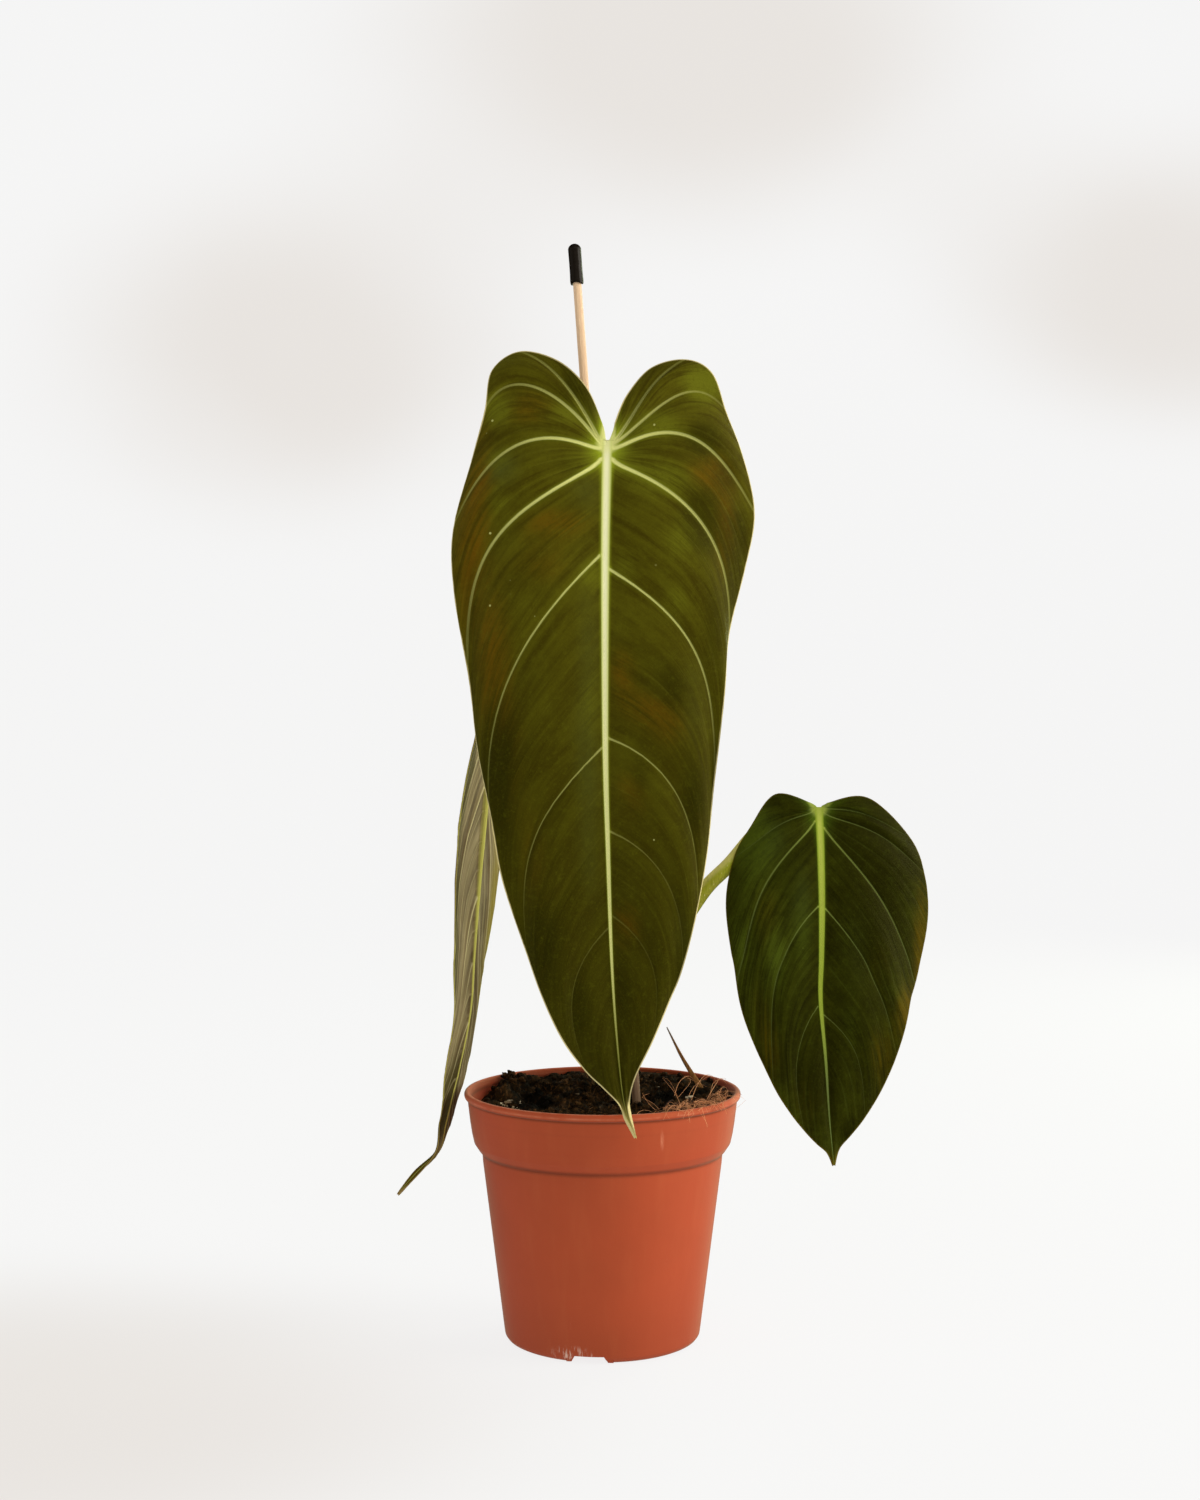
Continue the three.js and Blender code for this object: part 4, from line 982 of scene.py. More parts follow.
def strands(name, courses, sides, steps):
    """Thin tapered strands as one piece, each a list of points, a radius at the root and a shade."""
    places = []
    faces = []
    shades = []
    for points, radius, shade in courses:
        base = len(places)
        rings, walls = tube(Course(points, 60), lambda t, angle: radius * (1 - 0.6 * t), sides, steps)
        places += rings
        faces += [tuple(base + k for k in wall) for wall in walls]
        faces.append(tuple(base + s for s in reversed(range(sides))))
        faces.append(tuple(base + steps * sides + s for s in range(sides)))
        shades += [shade] * len(rings)
    piece = mesh_piece(name, places, faces)
    measure(piece, "shade", shades)
    smooth(piece, 80)
    return piece


def stake_place():
    """Turns a piece made upright at the origin onto the leaning stake's axis, in metres."""
    axis = (STAKE_TOP - STAKE_FOOT).normalized()
    lean = Vector((0, 0, 1)).rotation_difference(axis)
    return Matrix.Translation(STAKE_FOOT * MM) @ lean.to_matrix().to_4x4()


# Pot
def channel_bar(name, width, height, grow, inner, outer, bottom):
    """A bar along -Y whose top is narrower than its foot."""
    foot = width + 2 * grow
    top = height + grow
    bar = begin("cube", name, size=1, location=(0, -(inner + outer) / 2 * MM, (bottom + top) / 2 * MM),
                scale=(foot * MM, (outer - inner) * MM, (top - bottom) * MM))
    bpy.ops.object.mode_set(mode="OBJECT")
    narrow = (foot - 2 * CHANNEL_SLOPE) / foot
    for vertex in bar.data.vertices:
        if vertex.co.z > 0:
            vertex.co.x *= narrow
    return end(bar)


def round_the_pot(tool):
    """Three copies of a tool, one at each drainage channel."""
    copies = []
    for degrees in CHANNEL_ANGLES:
        copy = new_object(tool.name, tool.data.copy())
        copy.data.transform(Matrix.Rotation(math.radians(degrees + 90), 4, "Z"))
        copies.append(copy)
    bpy.data.objects.remove(tool, do_unlink=True)
    return copies


def make_pot():
    look = settings("pot")
    width = look.channel_width / MM
    height = look.channel_height / MM
    profile = rounded(POT_OUTSIDE + POT_INSIDE)
    pot = turned("nursery_pot", profile, steps=look.segments)
    ridge = channel_bar(
        "ridge", width, height, grow=RIDGE_WALL, inner=CHANNEL_INNER - RIDGE_WALL, outer=RIDGE_OUTER,
        bottom=0.5)
    carve(pot, joined(round_the_pot(ridge)), "UNION")
    channel = channel_bar("channel", width, height, grow=0.0, inner=CHANNEL_INNER, outer=50, bottom=-1)
    carve(pot, joined(round_the_pot(channel)), "DIFFERENCE")
    holes = []
    for distance in DRAIN_HOLES:
        drill = begin("cylinder", "drill", vertices=32, radius=look.hole_radius, depth=6 * MM,
                      location=(0, -distance * MM, 4 * MM))
        bpy.ops.mesh.bevel(offset=0.2 * MM)
        holes += round_the_pot(end(drill))
    carve(pot, joined(holes), "DIFFERENCE")
    smooth(pot, 32)
    attach(pot, plastic_finish(), "terracotta_plastic", "pot")


# Soil
def soil_height(x, y):
    """The soil's surface as the CAD solid has it."""
    mound = 1.8 * math.exp(-((x - 42) ** 2 + (y + 4) ** 2) / 380)
    back = max(y / 55, 0)
    slope = 3 * (x / 55) + 6.2 * back + 3.6 * back * max(-x / 55, 0)
    lumps = (0.8 * math.sin(x * 0.42 + 1.3) * math.sin(y * 0.37 + 0.4) + 0.6 * math.sin(x * 0.9 - y * 0.7)
             + 0.4 * math.sin(x * 0.25 + y * 1.1 + 2))
    return SOIL_LEVEL + slope + mound + lumps


def rough_height(x, y):
    """The same surface with clods and grains."""
    heaps = abs(noise.noise(Vector((x * 0.08, y * 0.08, 5.2)))) * 6
    clods = abs(noise.noise(Vector((x * 0.15, y * 0.15, 3.1)))) * 3.0
    crumbs = noise.noise(Vector((x * 0.55, y * 0.55, 7.7))) * 0.8
    grains = noise.noise(Vector((x * 1.3, y * 1.3, 1.4))) * 0.5
    hollow = 3.2 * math.exp(-((x + 31) / 9) ** 2 - ((y - 16) / 14) ** 2)
    heap = 5 * math.exp(-((x + 40) / 7) ** 2 - ((y - 33) / 7) ** 2)
    return soil_height(x, y) + heaps + clods - 1.8 + crumbs + grains + heap - hollow


def make_soil_body():
    top = [(SOIL_EDGE * k / SOIL_RINGS, SOIL_LEVEL) for k in range(SOIL_RINGS + 1)]
    soil = turned("peat_body", top + SOIL_SIDE, steps=200)
    for vertex in soil.data.vertices:
        x = vertex.co.x / MM
        y = vertex.co.y / MM
        if vertex.co.z > (SOIL_LEVEL - 1) * MM:
            edge = min(max((math.hypot(x, y) - 52) / (SOIL_EDGE - 52), 0), 1)
            vertex.co.z = min(rough_height(x, y) - 0.9 * edge, SOIL_TOP - 0.4 * edge) * MM
    measure(soil, "shade", [0.5 + 0.5 * noise.noise(v.co * 300) for v in soil.data.vertices])
    smooth(soil, 180)
    attach(soil, peat_finish(), "peat_soil", "soil")


def lump_shape(name, stretch, roughness, seed):
    """One loose lump about a millimetre across: a small ball pushed out of shape."""
    lump = begin("uv_sphere", name, segments=7, ring_count=5, radius=1.0)
    bpy.ops.transform.resize(value=stretch)
    bpy.ops.object.mode_set(mode="OBJECT")
    for vertex in lump.data.vertices:
        vertex.co += vertex.co * roughness * noise.noise(vertex.co * 1.7 + Vector((seed, 0, 0)))
    return lump


def scatter(name, shapes, places):
    """Copies of the shapes at the places, as one piece. A place is where, size, turn and shade."""
    points = []
    faces = []
    shades = []
    for number, (where, size, turn, shade) in enumerate(places):
        source = shapes[number % len(shapes)].data
        base = len(points)
        spin = turn.to_matrix()
        points.extend(where + spin @ (vertex.co * size) for vertex in source.vertices)
        faces.extend(tuple(base + v for v in face.vertices) for face in source.polygons)
        shades.extend([shade] * len(source.vertices))
    for shape in shapes:
        bpy.data.objects.remove(shape, do_unlink=True)
    piece = mesh_piece(name, points, faces)
    measure(piece, "shade", shades)
    smooth(piece, 50)
    return piece


def random_turn(draw):
    axis = Vector((draw.uniform(-1, 1), draw.uniform(-1, 1), draw.uniform(-1, 1)))
    return axis.normalized().to_track_quat("Z", "Y")


def on_soil(draw, reach):
    """A random place on the soil."""
    radius = reach * math.sqrt(draw.random())
    angle = draw.uniform(0, math.tau)
    return radius * math.cos(angle), radius * math.sin(angle)


def near(draw, centre, wide, deep):
    """A random place near a centre."""
    x = centre[0] + wide * draw.uniform(-1, 1)
    return x, centre[1] + deep * draw.uniform(-1, 1)


def drawn_in(x, y, reach):
    """The place itself, or the place towards it at the reach from the pot's middle."""
    outside = max(math.hypot(x, y) / reach, 1)
    return x / outside, y / outside


def make_crumbs():
    look = settings("soil")
    draw = random.Random(SEED)
    shapes = [lump_shape(f"crumb_{k}", (1, 0.8, 0.7), 0.7, 4.0 * k) for k in range(4)]
    places = []
    for number in range(look.crumbs):
        x, y = on_soil(draw, 54)
        size = 0.5 + 1.3 * draw.random() ** 2.2
        rise = size * 0.25
        if number % 14 == 0:
            x, y = near(draw, CRUMB_HEAP, 5, 4)
            rise += 2.2 * draw.random()
        where = Vector((x, y, min(rough_height(x, y), SOIL_TOP) + rise))
        places.append((where, size, random_turn(draw), draw.random()))
    attach(scatter("peat_crumbs", shapes, places), peat_finish("peat_crumb", 0.2), "peat_soil")
    shapes = [lump_shape(f"chip_{k}", (1.6, 0.5, 0.22), 0.6, 9.0 + 3.0 * k) for k in range(3)]
    places = []
    for number in range(look.chips):
        x, y = on_soil(draw, 50)
        if number % 6:
            x, y = near(draw, CHIP_HEAP, 5, 10)
        size = 0.5 + 0.8 * draw.random()
        where = Vector((x, y, rough_height(x, y) + size * 0.45 + 0.5))
        places.append((where, size, random_turn(draw), draw.random()))
    attach(scatter("pale_chips", shapes, places), chip_finish(), "peat_soil")


def make_loose_fibres():
    draw = random.Random(SEED + 1)
    courses = []
    for _ in range(settings("soil").fibres):
        x, y = on_soil(draw, 50)
        heading = draw.uniform(0, math.tau)
        reach = draw.uniform(5, 16)
        bend = draw.uniform(-0.9, 0.9)
        points = []
        for k in range(4):
            turn = heading + bend * k / 3
            px = x + reach * k / 3 * math.cos(turn)
            py = y + reach * k / 3 * math.sin(turn)
            px, py = drawn_in(px, py, 55)
            lift = draw.uniform(0.1, 1.2) * math.sin(math.pi * (k + 0.4) / 3.8)
            points.append((px, py, min(rough_height(px, py), SOIL_TOP) + 0.1 + lift))
        courses.append((points, draw.uniform(0.07, 0.2), draw.random()))
    fibres = strands("dark_fibres", courses, sides=4, steps=8)
    attach(fibres, peat_finish("dark_fibre", 0.35), "coir_fibre")


def make_tuft():
    """The tangle of coir by the right wall, with strands on and over the lip and above the soil."""
    draw = random.Random(SEED + 2)
    courses = []
    for number in range(settings("soil").tuft_strands):
        heaped = number % 5 < 3
        bearing = math.radians(draw.gauss(TUFT_BEARING, 8) if heaped else draw.uniform(-44, 2))
        out = 54 - abs(draw.gauss(0, 6 if heaped else 2.6))
        x = out * math.cos(bearing)
        y = out * math.sin(bearing)
        heading = bearing + math.pi / 2 + draw.gauss(0, 0.8)
        reach = draw.uniform(5, 15)
        rise = draw.uniform(0.4, 3.2) if number % 7 else draw.uniform(2.5, 5)
        points = []
        for k in range(4):
            px = x + (k / 3 - 0.5) * reach * math.cos(heading) + draw.gauss(0, 0.7)
            py = y + (k / 3 - 0.5) * reach * math.sin(heading) + draw.gauss(0, 0.7)
            px, py = drawn_in(px, py, TUFT_EDGE)
            arch = math.sin(math.pi * k / 3)
            beside = math.degrees(math.atan2(py, px)) - TUFT_BEARING
            inward = TUFT_EDGE - math.hypot(px, py)
            pile = 6.5 * math.exp(-((beside / 15) ** 2)) * math.exp(-inward / 9)
            lift = 0.2 + pile * draw.uniform(0.3, 1) + rise * (0.25 + 0.75 * arch)
            points.append((px, py, min(soil_height(px, py) + lift, 112)))
        courses.append((points, draw.uniform(0.08, 0.21), draw.random()))
    for _ in range(LIP_STRANDS):
        bearing = math.radians(draw.gauss(-44, 9))
        points = [(draw.uniform(53, 56.5) * math.cos(bearing), draw.uniform(53, 56.5) * math.sin(bearing),
                   draw.uniform(108.4, 110.5))]
        for out, low, high in ((59.2, 108.5, 109.6), (60.6, 105, 108.4)):
            bearing += draw.uniform(-0.09, 0.09)
            points.append((out * math.cos(bearing), out * math.sin(bearing), draw.uniform(low, high)))
        courses.append((points, draw.uniform(0.08, 0.15), draw.uniform(0.4, 1.0)))
    for points in HANGING_STRANDS + CLIMBING_STRANDS:
        courses.append((points, 0.14, 0.9))
        courses.append(([(a + draw.gauss(0, 1.8), b + draw.gauss(0, 1.8), c + draw.uniform(-0.5, 0.6))
                         for a, b, c in points], 0.09, draw.uniform(0.6, 1.0)))
    tuft = strands("coir_tuft", courses, sides=4, steps=10)
    attach(tuft, coir_finish(), "coir_fibre", "fibre_tuft")


# Supports
def make_stake():
    radius = settings("support").stake_radius / MM
    length = (STAKE_TOP - STAKE_FOOT).length
    chamfer = 0.3
    rings = 60
    profile = [(0, 0), (radius - chamfer, 0), (radius, chamfer)]
    profile += [(radius, length * k / rings) for k in range(1, rings)]
    profile += [(radius, length - chamfer), (radius - chamfer, length), (0, length)]
    stake = turned("bamboo_stake", profile, steps=28)
    for vertex in stake.data.vertices:
        angle = math.atan2(vertex.co.y, vertex.co.x)
        height = vertex.co.z / MM
        flat = 0.05 * math.cos(3 * angle + 0.4) + 0.03 * math.cos(7 * angle + 1)
        sway = 0.05 * noise.noise(Vector((height * 0.03, math.cos(angle), math.sin(angle))))
        split = 1 - 0.04 + flat + sway
        vertex.co.x *= split
        vertex.co.y *= split
    stake.data.transform(stake_place())
    smooth(stake, 35)
    attach(stake, bamboo_finish(), "bamboo", "stake")


def make_tip():
    """The dipped tip: a rounded cap, a little fuller at its lower edge, with a soft drip."""
    radius = settings("support").tip_radius / MM
    top = (STAKE_TOP - STAKE_FOOT).length + TIP_CROWN
    low = top - TIP_LENGTH
    dome = radius * 0.96
    profile = [
        (0, low + 1.2), (1.9, low + 1.0), (2.3, low + 0.25), (radius - 0.35, low),
        (radius - 0.05, low + 0.5), (radius, low + 1.6), (radius - 0.1, low + 4),
        (radius - 0.14, low + 8), (radius - 0.08, top - dome)]
    for k in range(1, 9):
        angle = math.pi / 2 * k / 9
        profile.append((radius * math.cos(angle), top - dome + dome * math.sin(angle)))
    profile.append((0, top))
    tip = turned("dipped_tip", rounded(profile, 0.4), steps=36)
    for vertex in tip.data.vertices:
        angle = math.atan2(vertex.co.y, vertex.co.x)
        if vertex.co.z < (low + DRIP_HEIGHT) * MM:
            drip = 1 - (vertex.co.z / MM - low) / DRIP_HEIGHT
            vertex.co.z -= 0.35 * MM * math.cos(angle * 2 + 0.6) * drip
    tip.data.transform(stake_place())
    smooth(tip, 60)
    attach(tip, dip_finish(), "black_dip", "stake_tip")


def make_tie():
    """A loop of garden tie round the stake and the large leaf's stalk."""
    radius = settings("support").tie_radius / MM
    course = Course(STALKS["large"])
    stalk = min((course.point(k / 400) for k in range(401)), key=lambda p: abs(p.z - TIE_HEIGHT))
    share = (TIE_HEIGHT - STAKE_FOOT.z) / (STAKE_TOP.z - STAKE_FOOT.z)
    rounds = [
        (STAKE_FOOT.lerp(STAKE_TOP, share), TIE_FROM_STAKE + radius), (stalk, TIE_FROM_STALK + radius)]
    steps = 72
    sides = 12
    places = []
    for k in range(steps):
        out = Vector((math.cos(math.tau * k / steps), math.sin(math.tau * k / steps), 0))
        centre, reach = max(rounds, key=lambda r: r[0].dot(out) + r[1])
        middle = centre + out * reach
        middle.z = TIE_HEIGHT + 0.25 * math.sin(math.tau * k / steps)
        for s in range(sides):
            angle = math.tau * s / sides
            places.append(middle + (out * math.cos(angle) + Vector((0, 0, 1)) * math.sin(angle)) * radius)
    faces = []
    for k in range(steps):
        for s in range(sides):
            ahead = (k + 1) % steps * sides
            beside = (s + 1) % sides
            faces.append((k * sides + s, ahead + s, ahead + beside, k * sides + beside))
    tie = mesh_piece("garden_tie_loop", places, faces)
    smooth(tie, 60)
    attach(tie, tie_finish(), "garden_tie", "tie")


# Stem and stalks
def make_stem():
    look = settings("stalk")
    radius = look.stem_radius / MM

    def stem_radius(t, angle):
        ring = sum(math.exp(-(((t - scar) / 0.025) ** 2)) for scar in LEAF_SCARS)
        crease = sum(math.exp(-(((t - scar - 0.012) / 0.005) ** 2)) for scar in LEAF_SCARS)
        rough = noise.noise(Vector((3 * math.cos(angle), 3 * math.sin(angle), 30 * t)))
        ribbing = 0.08 * math.cos(9 * angle) + 0.12 * rough
        return radius - 0.7 * t + 0.7 * ring - 0.3 * crease + ribbing

    stem = sweep("climbing_stem", STEM, stem_radius, sides=36, steps=220)
    bark = skin_finish("stem_bark", look.bark, srgb(120, 112, 62), srgb(66, 64, 30), srgb(168, 158, 112))
    attach(stem, bark, "stem_bark", "stem")
    root = skin_finish("aerial_root", look.root, srgb(104, 100, 56), srgb(76, 56, 36), srgb(168, 144, 110))
    for number, (points, width) in enumerate(AERIAL_ROOTS, 1):
        def root_radius(t, angle, width=width, number=number):
            wobble = 0.1 * noise.noise(Vector((math.cos(angle), math.sin(angle) + number, 14 * t)))
            return width * (1 - 0.45 * t) * (1 + wobble) * min(1, 0.25 + 12 * (1 - t))

        piece = sweep(f"aerial_root_{number}", points, root_radius, sides=14, steps=70)
        attach(piece, root, "stem_bark")


def make_stalks():
    look = settings("stalk")
    radius = look.stalk_radius / MM
    # the last colour is the painted highlight on the side of the stalks that faces up
    skin = skin_finish(
        "petiole_skin", look.skin, srgb(160, 156, 50), srgb(96, 106, 14), srgb(206, 196, 130),
        srgb(240, 232, 142))

    def stalk_radius(t, angle):
        taper = 1 + 0.35 * math.exp(-9 * t) - 0.12 * t + 0.1 * math.exp(14 * (t - 1))
        knee = 0.09 * math.exp(-(((t - 0.965) / 0.02) ** 2))
        groove = 0.05 * max(math.cos(angle), 0) ** 6 * (1 - t)
        ridges = 0.012 * math.cos(11 * angle)
        return radius * (taper + knee - groove + ridges)

    for side, points in STALKS.items():
        fuller = STALK_FULLNESS[side]
        stalk = sweep(
            f"stalk_{side}", points, lambda t, angle: fuller * stalk_radius(t, angle), sides=28, steps=150)
        attach(stalk, skin, "petiole_skin", f"petiole_{side}")


def make_sheaths():
    look = settings("stalk")

    def green_radius(t, angle):
        keel = 1 + 0.1 * math.cos(2 * angle) + 0.02 * math.cos(14 * angle)
        return (5.2 * (1 - t) ** 0.75 + 0.3) * keel * 0.93

    green = sweep("green_sheath", GREEN_SHEATH, green_radius, sides=30, steps=60)
    finish = skin_finish(
        "green_sheath", look.sheath, srgb(178, 170, 112), srgb(112, 116, 56), srgb(196, 190, 140))
    attach(green, finish, "green_sheath", "stem_sheath")

    def dry_radius(t, angle):
        curl = 1 + 0.25 * math.cos(2 * angle + 2 * t) + 0.06 * noise.noise(Vector((angle, 0, 12 * t)))
        return 1.6 * (1 - 0.86 * t) * curl * 0.86

    dry = sweep("dried_leaf_sheath", DRIED_SHEATH, dry_radius, sides=16, steps=60)
    attach(dry, dry_finish(), "dry_sheath", "dried_sheath")


# Blades
def row_at(rows, r):
    """One line of the fan, its margin smooth between the rows that are given."""
    i = min(int(r), len(rows) - 2)
    t = r - i
    a, b, c, d = [rows[min(max(k, 0), len(rows) - 1)] for k in range(i - 1, i + 3)]

    def straight(column):
        return b[column] + (c[column] - b[column]) * t

    def curved(column):
        return through(a[column], b[column], c[column], d[column], t)

    return straight(0), straight(1), curved(2), curved(3), straight(4), straight(5), straight(6)


def line_point(row, half, t, join):
    """A point of one line on the flat leaf, from the midrib at 0 to the margin at 1.

    The line bends by join to meet the midrib.
    """
    start, out, u, v, home, first, second = row
    out = math.radians(out)
    home = math.radians(home)
    length = math.hypot(u - half, v - start)
    first *= length
    second *= length
    xs = (half, half + first * math.sin(out), u - second * math.sin(home), u)
    ys = (start, start + first * math.cos(out), v - second * math.cos(home), v)
    weights = ((1 - t) ** 3, 3 * t * (1 - t) ** 2, 3 * t * t * (1 - t), t ** 3)
    x = sum(x * w for x, w in zip(xs, weights))
    y = sum(y * w for y, w in zip(ys, weights))
    low = max(start, 0)
    join *= low / (low + 2.2) * max(1 - low / 30, 0)
    return x, y - join * math.exp(-max(x - half, 0) / 2.4)


class Blade:
    """A leaf blade: a flat fan of lines, hung on its midrib.

    On the flat leaf u is how far out a point is from the midrib and v how far down. In space it is
    the midrib's course that says where the point lies.
    """

    # FAR is where a measure stops counting, and RIGHT_LINES sets the right half apart on the leaf's
    # own map. The reaches are the half width of a vein's cord and of the margin's rounding.
    COLUMNS = 40
    ACROSS_MIDRIB = 3
    STEPS = 400
    FAR = 9
    RIGHT_LINES = 40
    RIB_REACH = 1.1
    MARGIN_REACH = 0.45
    NOTCH = 1.6

    def __init__(self, leaf, patches):
        self.leaf = leaf
        self.patches = patches
        self.rows = {
            side: [row if len(row) > 5 else (*row, *USUAL_HANDLES) for row in leaf[key]]
            for side, key in ((-1, "left"), (1, "right"))}
        self.last = len(leaf["ribs"]) - 1
        course = Course(leaf["midrib"])
        self.length = course.length
        self.frames = []
        for k in range(self.STEPS + 1):
            distance = course.length * k / self.STEPS
            point, along = course.at(distance)
            turns = leaf["turns"]
            place = course.share(distance) * (len(turns) - 1)
            i = min(int(place), len(turns) - 2)
            turn = turns[i] + (turns[i + 1] - turns[i]) * (place - i)
            faces = Matrix.Rotation(math.radians(turn), 3, "Z") @ Vector(leaf["faces"]).normalized()
            up = (faces - along * faces.dot(along)).normalized()
            self.frames.append((point, along, up))

    def place(self, u, v):
        """Where a point of the flat leaf lies, and which way the upper side faces there."""
        leaf = self.leaf
        side = 1 if u >= 0 else -1
        inside = min(max(v, 0.0), self.length)
        spot = inside / self.length * self.STEPS
        k = min(int(spot), self.STEPS - 1)
        point, along, up = [a.lerp(b, spot - k) for a, b in zip(self.frames[k], self.frames[k + 1])]
        across = up.cross(along) * side
        behind = min(v, 0.0)
        slope = leaf["fold"] - abs(u) / leaf["curl"]
        out = leaf["curl"] * (math.sin(leaf["fold"]) - math.sin(slope))
        rise = leaf["curl"] * (math.cos(slope) - math.cos(leaf["fold"]))
        point = (point + along * (v - inside) - up * (leaf["lean"] * behind * behind / 40)
                 + across * out + up * rise)
        return point, up * math.cos(slope) - across * math.sin(slope)

    def across_midrib(self, pair, start):
        return pair[0] + (pair[1] - pair[0]) * min(max(start / self.length, 0), 1)

    def half(self, row):
        return min(self.across_midrib(self.leaf["midrib_width"], row[0]) / 2, row[2] * 0.35)

    def line(self, side, r):
        return row_at(self.rows[side], r)

    def stations(self):
        """The rows of the mesh, closer together beside the veins and at both ends."""
        ribs = self.leaf["ribs"]
        result = []
        for i in range(self.last):
            wide = max(math.dist(side[i][2:4], side[i + 1][2:4]) for side in self.rows.values())
            count = 2 * math.ceil((wide / 1.7 + 5) / 2)
            low = ribs[i] > 0 or i == 0
            high = ribs[i + 1] > 0 or i + 1 == self.last
            for k in range(count):
                s = k / count
                if low and high:
                    s = (1 - math.cos(math.pi * s)) / 2
                elif low:
                    s = 1 - math.cos(math.pi * s / 2)
                elif high:
                    s = math.sin(math.pi * s / 2)
                result.append(i + s)
        result.append(self.last)
        return result

    def bulge(self, r):
        """How far the blade swells up between two veins, 0 on a vein and 1 midway."""
        ribs = self.leaf["ribs"]
        marks = [i for i, rib in enumerate(ribs) if rib > 0 or i in (0, self.last)]
        above = max(next((k for k, mark in enumerate(marks) if mark >= r), 1), 1)
        low, high = marks[above - 1], marks[above]
        return math.sin(math.pi * (r - low) / (high - low))

    def trace(self, side, rows, count=150):
        """Points along the lines at these rows, for measuring distances on the flat leaf."""
        found = []
        for r in rows:
            row = self.line(side, r)
            for k in range(count + 1):
                t = k / count
                u, v = line_point(row, self.half(row), t, self.leaf["join"])
                found.append((Vector((side * u, v, 0)), r, t))
            u, v = found[-1 - count][0].xy
            found += [(Vector((u * k / 8, v - abs(u) * (1 - k / 8) * 0.5, 0)), r, 0.0) for k in range(4, 8)]
        return found

    @staticmethod
    def tree(found):
        tree = KDTree(len(found))
        for number, entry in enumerate(found):
            tree.insert(entry[0], number)
        tree.balance()
        return tree

    def trees(self):
        """For each side, the trees that say how near a point is to a vein, a minor vein and the margin."""
        ribs = self.leaf["ribs"]
        result = {}
        for side in (-1, 1):
            veins = self.trace(side, [i for i, rib in enumerate(ribs) if rib > 0])
            fine = [i for i in range(2, self.last - 1) if ribs[i] == 0]
            fine += [i + 0.5 for i in range(4, self.last - 2)]
            minor = self.trace(side, fine)
            border = self.trace(side, [0, self.last])
            for k in range(self.last * 40 + 1):
                row = self.line(side, k / 40)
                border.append((Vector((side * row[2], row[3], 0)), k / 40, 1))
            border += [(Vector((side * k / 4, -1, 0)), 0, 0) for k in range(10)]
            result[side] = [(self.tree(group), group) for group in (veins, minor, border)]
        return result

    def columns(self):
        """The columns of the mesh, from the left margin to the right.

        Each is its side, its share of the line, which is None on the midrib, and its share of the
        midrib's half width.
        """
        margin = [(1 - math.cos(math.pi * k / self.COLUMNS)) / 2 for k in range(self.COLUMNS + 1)]
        ridge = [k / self.ACROSS_MIDRIB for k in range(1, self.ACROSS_MIDRIB)]
        half = [(None, f) for f in ridge] + [(t, 1) for t in margin]
        left = [(-1, t, f) for t, f in reversed(half)]
        return left + [(1, None, 0)] + [(1, t, f) for t, f in half]

    def tints(self, side, u, v):
        """How strong each soft patch of colour is at a point."""
        return {
            key: min(sum(
                strength * math.exp(-((side * u - x) / wide) ** 2 - ((v - y) / deep) ** 2)
                for x, y, wide, deep, strength in patches), 1.5)
            for key, patches in self.patches.items()}

    def distances(self, side, u, v, trees):
        """What the finishes and the relief read at a point, mostly its distance from veins and margin.

        Returns the values for the finishes, then the distance to the nearest vein, the share of that
        vein's length and its strength.
        """
        leaf = self.leaf
        flat = Vector((side * u, v, 0))
        (veins, vein_rows), (minor, _), (border, _) = trees
        _, nearest, away = veins.find(flat)
        _, row, along = vein_rows[nearest]
        pale_left, pale_right, fade = leaf["pale"][int(row)]
        clear = pale_right if side > 0 else pale_left
        width = (0.3 + 0.52 * clear ** 2) * (1 - 0.32 * along) + 0.2 * math.exp(-along / 0.05)
        star = math.hypot(u / 4.4, (v - 1) / 3.2)
        margin = border.find(flat)[2]
        pale = leaf["pale_midrib"] * (1 - min(max(v / self.length, 0), 1)) + 0.14
        heart = math.exp(-(math.hypot(u * 1.2, v * (0.8 if v < 0 else 0.75)) / 6.5) ** 1.5)
        if v < 0:
            heart += 0.45 * math.exp(-(margin / 2.2) ** 2 - (v / 15) ** 2 - (u / 14) ** 2)
        values = {
            "vein": min(away / (width * leaf["vein_width"]), 0.9 * star, self.FAR),
            "life": max(clear * (1 - 0.85 * along ** fade), math.exp(-star ** 4)),
            "minor": min(minor.find(flat)[2] / 0.4, self.FAR),
            "rib": min(u / pale, self.FAR),
            "margin": margin,
            "heart": heart,
            **self.tints(side, u, v),
        }
        return values, away, along, leaf["ribs"][int(row)]

